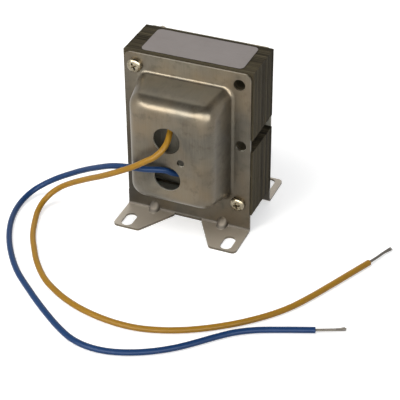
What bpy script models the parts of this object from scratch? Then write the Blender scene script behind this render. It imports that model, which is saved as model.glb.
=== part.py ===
"""Single-phase transformer: a laminated core and its coil between two drawn end bells on four feet.

The frame has +X to the right, +Y to the back and +Z up, in metres. The origin is on the surface
that the feet stand on, under the middle of the core. The sheets of the core are stacked along Y,
the coil is wound round the tongue of the core, which lies along X, and the leads leave the front.
"""

import math

import bmesh
import bpy
import numpy as np
from mathutils import Matrix

mm = 0.001

# How far a cutter runs past what it cuts
beyond = 2 * mm

# Core: E and I sheets of one standard size
tongue = 25.4 * mm
back = 12.7 * mm
window_height = 12.7 * mm
window_length = 38.1 * mm
stack = 25.4 * mm
core_base = 9.0 * mm
bolt_inset = 6.35 * mm
bolt_hole = 5.6 * mm
notch_width = 6.4 * mm
notch_depth = 8.5 * mm
packets = 5
sheets_per_packet = 4
sheet_groove = 0.12 * mm
sheet_land = 0.8
butt_gap = 0.06 * mm

# Coil, in layers outward from the tongue
seat_gap = 0.1 * mm
former_play = 0.3 * mm
former_wall = 1.1 * mm
former_end_play = 0.65 * mm
primary_share = 0.478
barrier_build = 0.5 * mm
wrap_build = 0.5 * mm
wedge_build = 0.5 * mm
layer_corner = 0.75
winding_edge = 0.4 * mm
film_edge = 0.1 * mm
splice_radius = 1.9 * mm
splice_length = 7.5 * mm
splice_end_share = 0.7
splice_taper = 0.4
splice_spread = 7.0 * mm
yellow_splice_room = 0.3 * mm
blue_splice_room = 1.5 * mm

# End bells: drawn sheet steel, the same stamping front and back
sheet = 1.0 * mm
bell_seat = 0.1 * mm
flange_side_step = 0.7 * mm
flange_top_step = 0.4 * mm
flange_corner = 3.2 * mm
flange_hole = 5.5 * mm
side_hole = 5.3 * mm
side_hole_inset = 5.4 * mm
dome_side_room = 3.95 * mm
dome_end_room = 4.05 * mm
dome_shift = -1.0 * mm
dome_drop = 0.75 * mm
lead_room = 7.6 * mm
dome_draft = 2.9 * mm
dome_root_radius = 1.6 * mm
root_start = 0.12
dome_nose_radius = 6.5 * mm
dome_root_corner = 5.0 * mm
dome_nose_corner = 6.5 * mm
lead_hole = 13.2 * mm
lead_hole_x = -2.0 * mm
lead_hole_rise = 7.3 * mm
lead_hole_spacing = 20.1 * mm
pilot_hole = 3.6 * mm
pilot_hole_x = 4.8 * mm
pilot_hole_drop = 3.0 * mm

# Feet, bent out of each flange
foot_reach = 19.9 * mm
foot_outer_step = 0.45 * mm
foot_front_width = 13.3 * mm
foot_root_inner = 7.1 * mm
foot_corner = 2.2 * mm
bend_radius = 1.0 * mm
shear_step = 0.15 * mm
press_allowance = 3.0 * mm
slot_width = 5.6 * mm
slot_length = 10.2 * mm
slot_inset = 6.1 * mm
slot_round = 0.999
dart_radius = 2.6 * mm
dart_reach = 4.4 * mm
dart_inset = 13.7 * mm

# Tie screws, nuts and washers
screw_shank = 3.5 * mm
screw_end = 1.6 * mm
screw_tip_share = 0.75
screw_tip_slope = 0.5
head_diameter = 7.1 * mm
head_height = 2.4 * mm
head_rim_share = 0.45
head_dome_power = 0.6
recess_depth = 1.4 * mm
recess_width = 3.9 * mm
recess_arm = 1.0 * mm
recess_lip = 0.5 * mm
recess_top_share = 1.1
recess_bottom_share = 0.45
nut_flats = 7.94 * mm
nut_height = 2.9 * mm
nut_bevel = 0.35 * mm
nut_end_share = 0.92
nut_bore = 3.7 * mm
washer_outer = 6.8 * mm
washer_inner = 3.8 * mm
washer_height = 0.9 * mm
washer_slit = 16.0

# Label on top of the core
label_length = 50.0 * mm
label_width = 21.0 * mm
label_height = 0.2 * mm
label_corner = 2.4 * mm
label_shift = 0.7 * mm

# Leads: hook-up wire with a stripped end
lead_diameter = 2.8 * mm
conductor_diameter = 1.2 * mm
joint_gap = 0.5 * mm
lead_step = 2.0
lead_follow = (1.0, 1.0, 0.6, 0.3, 0.0)

# The first points of each lead are typed from the middle of its hole, the others from the origin
YELLOW_INSIDE = [
    (-0.4, 6.6, 9.2), (-0.4, 6.55, 6.6), (-0.25, 5.7, 4.0), (0.2, 3.3, 1.8), (0.5, 0.3, -0.2),
]
BLUE_INSIDE = [
    (10.6, 6.6, -0.3), (8.0, 6.55, -0.3), (5.0, 5.2, 0.4), (1.8, 2.3, 2.2), (-0.3, -0.1, 4.4),
]
YELLOW_ROUTE = [
    (-2.7, -36.2, 51.3), (-5.8, -38.4, 48.0), (-10.4, -39.4, 45.0),
    (-15.8, -39.5, 41.2), (-23.0, -38.6, 36.5), (-29.0, -37.1, 32.5), (-35.4, -35.0, 28.2),
    (-42.1, -32.4, 23.8), (-48.9, -29.9, 19.2), (-55.6, -28.0, 14.7), (-61.6, -27.4, 10.4),
    (-66.0, -28.7, 6.6),
    (-68.4, -32.2, 3.7), (-68.4, -38.0, 2.1), (-66.3, -45.0, 1.55), (-61.7, -56.0, 1.5),
    (-55.6, -66.0, 1.5), (-50.0, -74.0, 1.5), (-41.0, -83.6, 1.5), (-32.8, -89.4, 1.5),
    (-24.2, -93.9, 1.5), (-14.3, -97.4, 1.5), (-1.8, -99.7, 1.5), (9.1, -99.9, 1.5),
    (17.9, -98.4, 1.5), (30.0, -94.0, 1.5), (41.4, -87.5, 1.5), (52.2, -79.4, 1.5),
    (62.0, -69.9, 1.5), (68.8, -61.2, 1.5), (74.6, -51.0, 1.5), (80.1, -39.9, 1.5),
    (85.7, -28.2, 1.5), (91.1, -16.9, 1.5),
]
BLUE_ROUTE = [
    (-5.5, -35.2, 39.5), (-10.1, -35.9, 38.9), (-15.3, -35.8, 38.1),
    (-21.6, -35.0, 37.0), (-30.2, -32.3, 33.7), (-39.5, -28.6, 28.3), (-49.1, -24.7, 22.1),
    (-58.5, -22.2, 15.9),
    (-66.8, -21.5, 10.6), (-73.2, -22.7, 6.4), (-77.4, -26.0, 3.7), (-79.5, -32.0, 2.0),
    (-79.0, -41.0, 1.55), (-76.3, -50.8, 1.5), (-71.5, -61.2, 1.5), (-64.6, -72.0, 1.5),
    (-55.4, -83.1, 1.5), (-43.2, -93.9, 1.5), (-30.6, -104.0, 1.5), (-18.8, -112.3, 1.5),
    (-10.8, -116.6, 1.5), (-3.0, -118.6, 1.5), (5.6, -118.5, 1.5), (14.3, -116.2, 1.5),
    (23.9, -111.6, 1.5), (32.6, -105.5, 1.5), (39.5, -99.0, 1.5), (45.9, -92.4, 1.5),
    (52.5, -86.4, 1.5), (60.2, -81.6, 1.5), (71.8, -76.6, 1.5), (84.0, -71.8, 1.5),
]
YELLOW_END = [(91.25, -16.6, 1.5), (93.3, -11.8, 1.45), (95.2, -6.7, 1.3), (97.4, -2.0, 1.0)]
BLUE_END = [(84.3, -71.7, 1.5), (88.3, -69.9, 1.45), (92.4, -67.8, 1.25), (96.0, -65.3, 0.95)]

# What follows from the sizes above
core_half_x = window_length / 2 + back
core_half_z = tongue / 2 + window_height + back
core_middle = core_base + core_half_z
core_top = core_middle + core_half_z
core_face = stack / 2
bolt_x = core_half_x - bolt_inset
bolt_z = core_half_z - bolt_inset
flange_back = core_face + bell_seat
flange_front = flange_back + sheet
flange_half_x = core_half_x - flange_side_step
flange_top = core_top - flange_top_step
former_half = window_length / 2 - former_end_play
former_in = former_play
former_out = former_in + former_wall
wedge_out = window_height - seat_gap
wedge_in = wedge_out - wedge_build
wrap_out = wedge_in - seat_gap
wrap_in = wrap_out - wrap_build
secondary_out = wrap_in - seat_gap
primary_in = former_out + seat_gap
winding_room = secondary_out - primary_in - barrier_build - 2 * seat_gap
primary_out = primary_in + primary_share * winding_room
barrier_in = primary_out + seat_gap
barrier_out = barrier_in + barrier_build
secondary_in = barrier_out + seat_gap
winding_half = former_half - former_wall - seat_gap
coil_face = core_face + wrap_out
dome_height = coil_face + lead_room + sheet - flange_front
dome_half_x = window_length / 2 + dome_side_room
dome_half_z = tongue / 2 + window_height + dome_end_room
dome_middle_z = core_middle - dome_drop
bell_front = flange_front + dome_height
upper_hole_z = core_middle + lead_hole_rise
lower_hole_z = upper_hole_z - lead_hole_spacing
splice_depth = coil_face + seat_gap + splice_radius
yellow_splice_top = dome_middle_z + dome_half_z - dome_draft - sheet - yellow_splice_room
blue_splice_right = dome_shift + dome_half_x - dome_draft - sheet - blue_splice_room
foot_half_x = flange_half_x + flange_side_step - foot_outer_step
foot_tip = core_face + foot_reach
slot_y = foot_tip - slot_inset
slot_corner = slot_round * slot_width / 2
slot_x = bolt_x
dart_x = foot_half_x - dart_inset


def clear_scene():
    for item in list(bpy.data.objects):
        bpy.data.objects.remove(item)


def material(name, colour, roughness, metallic=0.0):
    made = bpy.data.materials.new(name)
    made.use_nodes = True
    shader = made.node_tree.nodes["Principled BSDF"]
    shader.inputs["Base Color"].default_value = (*colour, 1.0)
    shader.inputs["Roughness"].default_value = roughness
    shader.inputs["Metallic"].default_value = metallic
    made.diffuse_color = (*colour, 1.0)
    return made


def add_object(name, points, faces, finish, smooth_angle=35.0):
    """A mesh object with its normals facing out and its rounded faces shaded smooth."""
    mesh = bpy.data.meshes.new(name)
    mesh.from_pydata([tuple(map(float, p)) for p in points], [], faces)
    shape = bmesh.new()
    shape.from_mesh(mesh)
    bmesh.ops.recalc_face_normals(shape, faces=shape.faces)
    shape.to_mesh(mesh)
    shape.free()
    if finish is not None:
        mesh.materials.append(finish)
        mesh.shade_smooth()
        mesh.set_sharp_from_angle(angle=math.radians(smooth_angle))
    made = bpy.data.objects.new(name, mesh)
    bpy.context.collection.objects.link(made)
    return made


def add_cutter(name, points, faces):
    """A shape that only cuts or joins another one and isn't part of the model."""
    made = add_object(name, points, faces, None)
    made.hide_render = True
    made.display_type = "WIRE"
    return made


def apply_cutters(body, cutters, operation):
    for cutter in cutters:
        step = body.modifiers.new(cutter.name, "BOOLEAN")
        step.operation = operation
        step.solver = "EXACT"
        step.object = cutter


def loft(rings, around=False):
    """Points and faces of quads between rings of equally many points, capped unless it closes."""
    count, size = len(rings), len(rings[0])
    points = [p for ring in rings for p in ring]
    faces = []
    for i in range(count if around else count - 1):
        a, b = i * size, (i + 1) % count * size
        for j in range(size):
            k = (j + 1) % size
            faces.append((a + j, a + k, b + k, b + j))
    if not around:
        faces.append(tuple(range(size)))
        faces.append(tuple(range((count - 1) * size, count * size)))
    return points, faces


def circle(radius, sides, centre=(0.0, 0.0), turn=0.5):
    """Points of a circle, started so that a flat side faces right."""
    steps = [2 * math.pi * (k + turn) / sides for k in range(sides)]
    return [(centre[0] + radius * math.cos(a), centre[1] + radius * math.sin(a)) for a in steps]


def rounded_polygon(corners, radii, segments=4):
    """An outline whose corners are arcs of the given radii; a radius of 0 leaves the corner sharp."""
    outline = []
    count = len(corners)
    for k, radius in enumerate(radii):
        at = np.array(corners[k])
        if radius <= 0:
            outline.append(tuple(at))
            continue
        before = np.array(corners[k - 1]) - at
        after = np.array(corners[(k + 1) % count]) - at
        before, after = before / np.linalg.norm(before), after / np.linalg.norm(after)
        half = math.acos(float(np.clip(before @ after, -1, 1))) / 2
        bisector = (before + after) / np.linalg.norm(before + after)
        centre = at + bisector * radius / math.sin(half)
        start = at + before * radius / math.tan(half) - centre
        end = at + after * radius / math.tan(half) - centre
        first = math.atan2(start[1], start[0])
        sweep = math.atan2(start[0] * end[1] - start[1] * end[0], float(start @ end))
        for step in range(segments + 1):
            a = first + sweep * step / segments
            outline.append((centre[0] + radius * math.cos(a), centre[1] + radius * math.sin(a)))
    return outline


def rounded_rectangle(half_u, half_v, radius, segments=5):
    corners = [(half_u, half_v), (-half_u, half_v), (-half_u, -half_v), (half_u, -half_v)]
    return rounded_polygon(corners, [radius] * 4, segments)


def prism_y(outline, y_low, y_high):
    """An outline in X and Z, extruded along Y."""
    return loft([[(x, y, z) for x, z in outline] for y in (y_low, y_high)])


def prism_z(outline, z_low, z_high):
    """An outline in X and Y, extruded along Z."""
    return loft([[(x, y, z) for x, y in outline] for z in (z_low, z_high)])


def block(low, high):
    corners = [(low[0], low[1]), (high[0], low[1]), (high[0], high[1]), (low[0], high[1])]
    return prism_z(corners, low[2], high[2])


def turned(profile, sides, place):
    """A profile of (radius, along) pairs, from pole to pole, turned about an axis.

    place maps (across, up, along) to a point of the model.
    """
    points = [place(0.0, 0.0, profile[0][1])]
    for radius, along in profile[1:-1]:
        points += [place(u, v, along) for u, v in circle(radius, sides)]
    points.append(place(0.0, 0.0, profile[-1][1]))
    faces = []
    rings = len(profile) - 2
    last = len(points) - 1
    for j in range(sides):
        k = (j + 1) % sides
        faces.append((0, 1 + k, 1 + j))
        faces.append((last, 1 + (rings - 1) * sides + j, 1 + (rings - 1) * sides + k))
        for i in range(rings - 1):
            a, b = 1 + i * sides, 1 + (i + 1) * sides
            faces.append((a + j, a + k, b + k, b + j))
    return points, faces


# Core


def core_outline(inset):
    """Outline of one sheet in X and Z, with a round-ended notch in each side."""
    wide, high = core_half_x - inset, core_half_z - inset
    radius = notch_width / 2 + inset
    centre = core_half_x - notch_depth + notch_width / 2
    arc = [math.pi * (0.5 + k / 6) for k in range(7)]
    right = [(centre + radius * math.cos(a), radius * math.sin(a)) for a in arc]
    half = [(wide, high), (wide, radius), *right, (wide, -radius), (wide, -high)]
    left = [(-x, -z) for x, z in half]
    return [(x, core_middle + z) for x, z in half + left]


def core_mesh():
    """The whole stack, with a shallow groove between one sheet and the next."""
    sheets = packets * sheets_per_packet
    pitch = stack / sheets
    rings = []
    for k in range(sheets):
        middle = -core_face + (k + 0.5) * pitch
        for edge in (-1, 1):
            y = middle + edge * pitch * sheet_land / 2
            if (k == 0 and edge == -1) or (k == sheets - 1 and edge == 1):
                y = middle + edge * pitch / 2
            rings.append([(x, y, z) for x, z in core_outline(0.0)])
        if k < sheets - 1:
            y = middle + pitch / 2
            rings.append([(x, y, z) for x, z in core_outline(sheet_groove)])
    return loft(rings)


def core_holes():
    """Cutters for the two windows and the four bolt holes."""
    reach = core_face + beyond
    cutters = []
    for name, side in (("upper", 1), ("lower", -1)):
        low, high = sorted((side * tongue / 2, side * (tongue / 2 + window_height)))
        shape = block(
            (-window_length / 2, -reach, core_middle + low),
            (window_length / 2, reach, core_middle + high),
        )
        cutters.append(add_cutter(f"cut_window_{name}", *shape))
    for x in (-bolt_x, bolt_x):
        for z in (-bolt_z, bolt_z):
            outline = circle(bolt_hole / 2, 12, (x, core_middle + z))
            cutters.append(add_cutter("cut_core_bolt", *prism_y(outline, -reach, reach)))
    return cutters


def packet_block(index, gap):
    """The space of one packet's I sheets, which change sides from packet to packet."""
    side = 1 if index % 2 == 0 else -1
    thick = stack / packets
    low_y = -core_face + index * thick + gap
    high_y = low_y + thick - 2 * gap
    if index == 0:
        low_y -= beyond
    if index == packets - 1:
        high_y += beyond
    near, far = window_length / 2 + gap, core_half_x + beyond
    low_x, high_x = sorted((side * near, side * far))
    reach = core_half_z + beyond
    return block((low_x, low_y, core_middle - reach), (high_x, high_y, core_middle + reach))


def build_core(steel):
    holes = core_holes()
    e_sheets = add_object("e_laminations", *core_mesh(), steel)
    apply_cutters(e_sheets, holes, "DIFFERENCE")
    for index in range(packets):
        pocket = add_cutter(f"cut_i_pocket_{index + 1}", *packet_block(index, 0.0))
        apply_cutters(e_sheets, [pocket], "DIFFERENCE")
        i_sheets = add_object(f"i_laminations_{index + 1}", *core_mesh(), steel)
        keep = add_cutter(f"keep_i_packet_{index + 1}", *packet_block(index, butt_gap))
        apply_cutters(i_sheets, [keep], "INTERSECT")
        apply_cutters(i_sheets, holes, "DIFFERENCE")


# Coil


def coil_ring(distance, x, segments=5):
    """A loop round the tongue at a distance from it, rounder the further out it lies."""
    corner = layer_corner * distance
    outline = rounded_rectangle(core_face + distance, tongue / 2 + distance, corner, segments)
    return [(x, y, core_middle + z) for y, z in outline]


def coil_layer(name, section, finish):
    """A closed section of (x, distance from the tongue) carried round the tongue."""
    rings = [coil_ring(distance, x) for x, distance in section]
    return add_object(name, *loft(rings, around=True), finish)


def plain_section(inner, outer, half, edge):
    """A layer's section, its outer edges eased."""
    return [
        (-half, inner),
        (half, inner),
        (half, outer - edge),
        (half - edge, outer),
        (-half + edge, outer),
        (-half, outer - edge),
    ]


def build_coil(nylon, enamel_dark, enamel_light, film, tape):
    end = former_half
    inside = former_half - former_wall
    former = [
        (-end, former_in),
        (end, former_in),
        (end, wrap_out),
        (inside, wrap_out),
        (inside, former_out),
        (-inside, former_out),
        (-inside, wrap_out),
        (-end, wrap_out),
    ]
    coil_layer("coil_former", former, nylon)
    for name, inner, outer, edge, finish in (
        ("primary_winding", primary_in, primary_out, winding_edge, enamel_dark),
        ("winding_barrier", barrier_in, barrier_out, film_edge, film),
        ("secondary_winding", secondary_in, secondary_out, winding_edge, enamel_light),
        ("coil_wrap", wrap_in, wrap_out, film_edge, tape),
    ):
        coil_layer(name, plain_section(inner, outer, winding_half, edge), finish)


def build_wedges(fibre):
    """Fibre strips that hold the coil in the windows."""
    for name, side in (("upper", 1), ("lower", -1)):
        low, high = sorted((side * (tongue / 2 + wedge_in), side * (tongue / 2 + wedge_out)))
        shape = block(
            (-winding_half, -core_face, core_middle + low),
            (winding_half, core_face, core_middle + high),
        )
        add_object(f"coil_wedge_{name}", *shape, fibre)


def yellow_start():
    """Where the yellow lead leaves its splice, which hangs from the top of the dome's room."""
    z = yellow_splice_top - splice_length - joint_gap
    return lead_hole_x + YELLOW_INSIDE[0][0] * mm, -splice_depth, z


def blue_start():
    """Where the blue lead leaves its splice, which lies towards the right of the dome's room."""
    x = blue_splice_right - splice_length - joint_gap
    return x, -splice_depth, lower_hole_z + BLUE_INSIDE[0][2] * mm


def splice(name, middle, direction, finish):
    """A taped joint that lies on the coil's face, along X (0 degrees) or Z (90 degrees)."""
    c, s = math.cos(math.radians(direction)), math.sin(math.radians(direction))
    half, radius = splice_length / 2, splice_radius
    end, full = splice_end_share * radius, half - splice_taper * radius
    profile = [(0, -half), (end, -half), (radius, -full), (radius, full), (end, half), (0, half)]

    def place(u, v, along):
        return (middle[0] + along * c - u * s, middle[1] + v, middle[2] + along * s + u * c)

    add_object(name, *turned(profile, 12, place), finish)


def build_splices(sleeve):
    half, depth = splice_length / 2, splice_depth
    yellow_x, _, _ = yellow_start()
    _, _, blue_z = blue_start()
    splice("yellow_lead_splice", (yellow_x, -depth, yellow_splice_top - half), 90.0, sleeve)
    splice("blue_lead_splice", (blue_splice_right - half, -depth, blue_z), 0.0, sleeve)
    splice("primary_start_splice", (-splice_spread, depth, core_middle), 90.0, sleeve)
    splice("primary_finish_splice", (splice_spread, depth, core_middle), 90.0, sleeve)


# End bells


def angle_section():
    """The bent strip, down the flange, round the bend and out along the foot, in Y and Z."""
    top, tip = flange_top + press_allowance, foot_tip + press_allowance
    turn = [math.radians(90 * k / 5) for k in range(6)]
    outer, inner = bend_radius + sheet, bend_radius
    centre_y, centre_z = flange_back + outer, outer
    under = [(centre_y - outer * math.cos(a), centre_z - outer * math.sin(a)) for a in turn]
    over = [(centre_y - inner * math.cos(a), centre_z - inner * math.sin(a)) for a in turn]
    return [(flange_back, top), *under, (tip, 0.0), (tip, sheet), *reversed(over), (flange_front, top)]


def angle_sheet():
    """The bent strip before the press cuts it to shape, larger all round."""
    wide = foot_half_x + press_allowance
    return loft([[(x, -y, z) for y, z in angle_section()] for x in (-wide, wide)])


def front_outline():
    """What the press leaves of the flange, seen from the front; below it only clears the feet."""
    wide = foot_half_x + 2 * press_allowance
    corners = [
        (flange_half_x, flange_top),
        (-flange_half_x, flange_top),
        (-flange_half_x, core_base),
        (-wide, core_base),
        (-wide, -core_base),
        (wide, -core_base),
        (wide, core_base),
        (flange_half_x, core_base),
    ]
    return rounded_polygon(corners, [flange_corner, flange_corner, 0, 0, 0, 0, 0, 0], 5)


def plan_outline():
    """What the press leaves of the sheet, seen from above: the flange and two tapered feet."""
    inner = foot_half_x - foot_front_width
    root = flange_front + shear_step
    half = [
        (foot_half_x, 0.0),
        (foot_half_x, -foot_tip),
        (inner, -foot_tip),
        (foot_root_inner, -flange_front - bend_radius),
        (foot_root_inner, -root),
    ]
    corners = half + [(-x, y) for x, y in reversed(half)]
    radii = [0, foot_corner, foot_corner, 0, 0]
    return rounded_polygon(corners, radii + radii[::-1], 4)


def dome_stations(offset, segments_root=3, segments_nose=5):
    """The drawn wall as (outward shift, height above the flange's face, share of the way up).

    A concave arc leads from the flange into the drafted wall and a convex arc leads on into the
    flat front. offset moves the surface inward by the sheet's thickness, about the same centres.
    """
    lean = math.atan2(dome_draft, dome_height)
    sweep = math.pi / 2 - lean
    root_centre = (dome_root_radius * math.tan(sweep / 2), dome_root_radius)
    nose_x = -dome_draft - dome_nose_radius * math.tan(sweep / 2)
    nose_centre = (nose_x, dome_height - dome_nose_radius)
    root, nose = dome_root_radius + offset, dome_nose_radius - offset
    stations = []
    for k in range(segments_root + 1):
        a = root_start + (sweep - root_start) * k / segments_root
        stations.append((root_centre[0] - root * math.sin(a), root_centre[1] - root * math.cos(a)))
    for k in range(segments_nose + 1):
        a = sweep * (1 - k / segments_nose)
        stations.append((nose_centre[0] + nose * math.sin(a), nose_centre[1] + nose * math.cos(a)))
    return [(g, h, min(max(h / dome_height, 0.0), 1.0)) for g, h in stations]


def dome_solid(offset, skirt):
    """One face of the drawn wall as a closed solid, run back behind the flange by skirt."""
    rings = []
    for shift, height, share in dome_stations(offset):
        radius = dome_root_corner + share * (dome_nose_corner - dome_root_corner) - offset
        outline = rounded_rectangle(dome_half_x + shift, dome_half_z + shift, radius, 5)
        y = -(flange_front + height)
        rings.append([(dome_shift + x, y, dome_middle_z + z) for x, z in outline])
    first = [(x, y + skirt, z) for x, y, z in rings[0]]
    return loft([first, *rings])


def bell_holes():
    """Outlines in X and Z of every hole in the front bell's flange and dome."""
    holes = [
        circle(lead_hole / 2, 24, (lead_hole_x, upper_hole_z)),
        circle(lead_hole / 2, 24, (lead_hole_x, lower_hole_z)),
        circle(pilot_hole / 2, 12, (pilot_hole_x, core_middle - pilot_hole_drop)),
        circle(side_hole / 2, 12, (core_half_x - side_hole_inset, core_middle)),
    ]
    for x in (-1, 1):
        for z in (-1, 1):
            holes.append(circle(flange_hole / 2, 12, (x * bolt_x, core_middle + z * bolt_z)))
    return holes


def foot_slots():
    """The mounting slot of each foot, long in Y, in X and Y."""
    slots = []
    for side in (-1, 1):
        outline = rounded_rectangle(slot_width / 2, slot_length / 2, slot_corner, 6)
        slots.append([(side * slot_x + x, -slot_y + y) for x, y in outline])
    return slots


def dart(side, radius, low, start, end):
    """A round-backed wedge across the inside of the bend, run along the bend's bisector.

    Across is X, and up is measured from the inner corner of the bend along the bisector. The ends
    lie in planes parallel to the flange and the foot, start and end behind their inner faces.
    """
    axis_height = dart_reach / math.sqrt(2) - dart_radius
    arc = [math.radians(-90 + 180 * k / 8) for k in range(9)]
    section = [(radius * math.sin(a), axis_height + radius * math.cos(a)) for a in arc]
    section += [(radius, low), (-radius, low)]
    corner_y, corner_z = -flange_front, sheet
    root = math.sqrt(2)
    rings = ([], [])
    for across, up in section:
        for ring, along in zip(rings, (-up - start * root, up + end * root)):
            y = corner_y - (up + along) / root
            z = corner_z + (up - along) / root
            ring.append((side * dart_x + across, y, z))
    return loft(rings)


def build_front_bell(steel):
    clear = 2 * press_allowance
    joined = [add_cutter("join_dome", *dome_solid(0.0, sheet / 2))]
    removed = [add_cutter("cut_dome", *dome_solid(sheet, clear))]
    press = [
        add_cutter("keep_front", *prism_y(front_outline(), -foot_tip - clear, 0.0)),
        add_cutter("keep_plan", *prism_z(plan_outline(), -clear, flange_top + clear)),
    ]
    for foot in (-1, 1):
        wall, hollow = sheet / 2, dart_radius - sheet
        joined.append(add_cutter("join_dart", *dart(foot, dart_radius, -sheet / 10, wall, wall)))
        deep = sheet + wall
        removed.append(add_cutter("cut_dart", *dart(foot, hollow, -4 * sheet, deep, deep)))
    reach = bell_front + clear
    for outline in bell_holes():
        removed.append(add_cutter("cut_bell_hole", *prism_y(outline, -reach, 0.0)))
    for outline in foot_slots():
        removed.append(add_cutter("cut_foot_slot", *prism_z(outline, -clear, clear)))
    bell = add_object("front_end_bell", *angle_sheet(), steel)
    apply_cutters(bell, press, "INTERSECT")
    apply_cutters(bell, joined, "UNION")
    apply_cutters(bell, removed, "DIFFERENCE")
    return bell


def build_rear_bell(front_bell):
    """The front bell's mirror image, so that the holes of both line up through the core."""
    bpy.context.view_layer.update()
    pressed = front_bell.evaluated_get(bpy.context.evaluated_depsgraph_get())
    mesh = bpy.data.meshes.new_from_object(pressed)
    mesh.name = "rear_end_bell"
    mesh.transform(Matrix.Scale(-1, 4, (0, 1, 0)))
    mesh.flip_normals()
    bpy.context.collection.objects.link(bpy.data.objects.new("rear_end_bell", mesh))


# Tie screws


def screw_profile():
    """Tip, shank, the flat under the head and its domed top, as (radius, along +Y from the head)."""
    tip = flange_front * 2 + washer_height + 2 * seat_gap + nut_height + screw_end
    shank, head = screw_shank / 2, head_diameter / 2
    profile = [(0, tip), (screw_tip_share * shank, tip), (shank, tip - screw_tip_slope * shank)]
    profile += [(shank, -seat_gap), (head, -seat_gap)]
    profile.append((head, -seat_gap - head_rim_share * head_height))
    for k in range(1, 4):
        a = math.radians(90 * k / 4)
        rise = head_rim_share + (1 - head_rim_share) * math.sin(a)
        profile.append((head * math.cos(a) ** head_dome_power, -seat_gap - rise * head_height))
    return [*profile, (0, -seat_gap - head_height)]


def recess(x, z):
    """The cross-shaped driver recess, narrower at its bottom."""
    rings = []
    top = -flange_front - seat_gap - head_height
    for y, scale in ((top - recess_lip, recess_top_share), (top + recess_depth, recess_bottom_share)):
        long, half = scale * recess_width / 2, recess_arm / 2 * (0.5 + scale / 2)
        quarter = [(long, -half), (long, half), (half, half)]
        cross = []
        for k in range(4):
            c, s = round(math.cos(k * math.pi / 2)), round(math.sin(k * math.pi / 2))
            cross += [(c * u - s * v, s * u + c * v) for u, v in quarter]
        rings.append([(x + u, y, z + v) for u, v in cross])
    return loft(rings)


def build_tie(name, x, z, zinc):
    """One tie screw from the front, with its washer and nut at the back."""

    def place(u, v, along):
        return (x + u, along - flange_front, z + v)

    screw = add_object(f"tie_screw_{name}", *turned(screw_profile(), 16, place), zinc)
    apply_cutters(screw, [add_cutter(f"cut_recess_{name}", *recess(x, z))], "DIFFERENCE")
    face = flange_front + seat_gap
    washer_back = face + washer_height
    turn = [math.radians(washer_slit / 2 + (360 - washer_slit) * k / 20) for k in range(21)]
    radii = ((washer_inner / 2, face), (washer_outer / 2, face))
    radii += ((washer_outer / 2, washer_back), (washer_inner / 2, washer_back))
    rings = [[(x + r * math.cos(a), y, z + r * math.sin(a)) for r, y in radii] for a in turn]
    add_object(f"lock_washer_{name}", *loft(rings), zinc)
    corner = nut_flats / 2 / math.cos(math.radians(30))
    low, high = washer_back + seat_gap, washer_back + seat_gap + nut_height
    levels = ((low, nut_end_share), (low + nut_bevel, 1.0), (high - nut_bevel, 1.0), (high, nut_end_share))
    rings = []
    for y, scale in levels:
        hexagon = circle(corner * scale, 6, (x, z), 0.5)
        rings.append([(u, y, v) for u, v in hexagon])
    nut = add_object(f"hex_nut_{name}", *loft(rings), zinc)
    bore = prism_y(circle(nut_bore / 2, 16, (x, z)), low - beyond, high + beyond)
    apply_cutters(nut, [add_cutter(f"cut_nut_bore_{name}", *bore)], "DIFFERENCE")


# Label and leads


def build_label(foil):
    outline = rounded_rectangle(label_length / 2, label_width / 2, label_corner, 4)
    low = core_top + seat_gap
    shape = prism_z([(label_shift + x, y) for x, y in outline], low, low + label_height)
    add_object("top_label", *shape, foil)


def lead_route(inside, hole_z, start, outside):
    """A lead's route from its splice, out through its hole and along the table.

    The inside points are typed from the middle of the hole at the bell's front. The first of them
    also follow the splice, and the later ones less and less.
    """
    points = np.array(inside) * mm + (lead_hole_x, -bell_front, hole_z)
    points += np.array(lead_follow)[:, None] * (np.array(start) - points[0])
    return np.concatenate([points, np.array(outside) * mm])


def smooth_route(knots, spacing):
    """Points of a smooth curve through the knots, about spacing apart."""
    chords = np.linalg.norm(np.diff(knots, axis=0), axis=1)
    at = np.concatenate([[0.0], np.cumsum(np.sqrt(chords))])
    tangents = np.gradient(knots, at, axis=0)
    fine = []
    for k in range(len(knots) - 1):
        t = np.linspace(0, 1, 24, endpoint=False)[:, None]
        span = at[k + 1] - at[k]
        fine.append(
            (2 * t**3 - 3 * t**2 + 1) * knots[k]
            + (t**3 - 2 * t**2 + t) * span * tangents[k]
            + (3 * t**2 - 2 * t**3) * knots[k + 1]
            + (t**3 - t**2) * span * tangents[k + 1]
        )
    fine = np.concatenate([*fine, knots[-1:]])
    along = np.concatenate([[0.0], np.cumsum(np.linalg.norm(np.diff(fine, axis=0), axis=1))])
    count = max(2, round(along[-1] / spacing) + 1)
    stops = np.linspace(0, along[-1], count)
    return np.stack([np.interp(stops, along, fine[:, k]) for k in range(3)], axis=1)


def build_tube(name, route, diameter, spacing, finish):
    """A wire as a curve with a round bevel and closed ends."""
    points = smooth_route(route, spacing)
    curve = bpy.data.curves.new(name, "CURVE")
    curve.dimensions = "3D"
    curve.bevel_depth = diameter / 2
    curve.bevel_resolution = 2
    curve.use_fill_caps = True
    spline = curve.splines.new("POLY")
    spline.points.add(len(points) - 1)
    spline.points.foreach_set("co", np.column_stack([points, np.ones(len(points))]).ravel())
    curve.materials.append(finish)
    made = bpy.data.objects.new(name, curve)
    bpy.context.collection.objects.link(made)


def build_leads(yellow, blue, tinned):
    step = lead_step * lead_diameter
    for name, inside, hole_z, start, outside, end, finish in (
        ("yellow", YELLOW_INSIDE, upper_hole_z, yellow_start(), YELLOW_ROUTE, YELLOW_END, yellow),
        ("blue", BLUE_INSIDE, lower_hole_z, blue_start(), BLUE_ROUTE, BLUE_END, blue),
    ):
        route = lead_route(inside, hole_z, start, outside)
        bare = np.array(end) * mm
        build_tube(f"{name}_lead", route, lead_diameter, step, finish)
        build_tube(f"{name}_lead_conductor", bare, conductor_diameter, step / 2, tinned)


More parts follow.
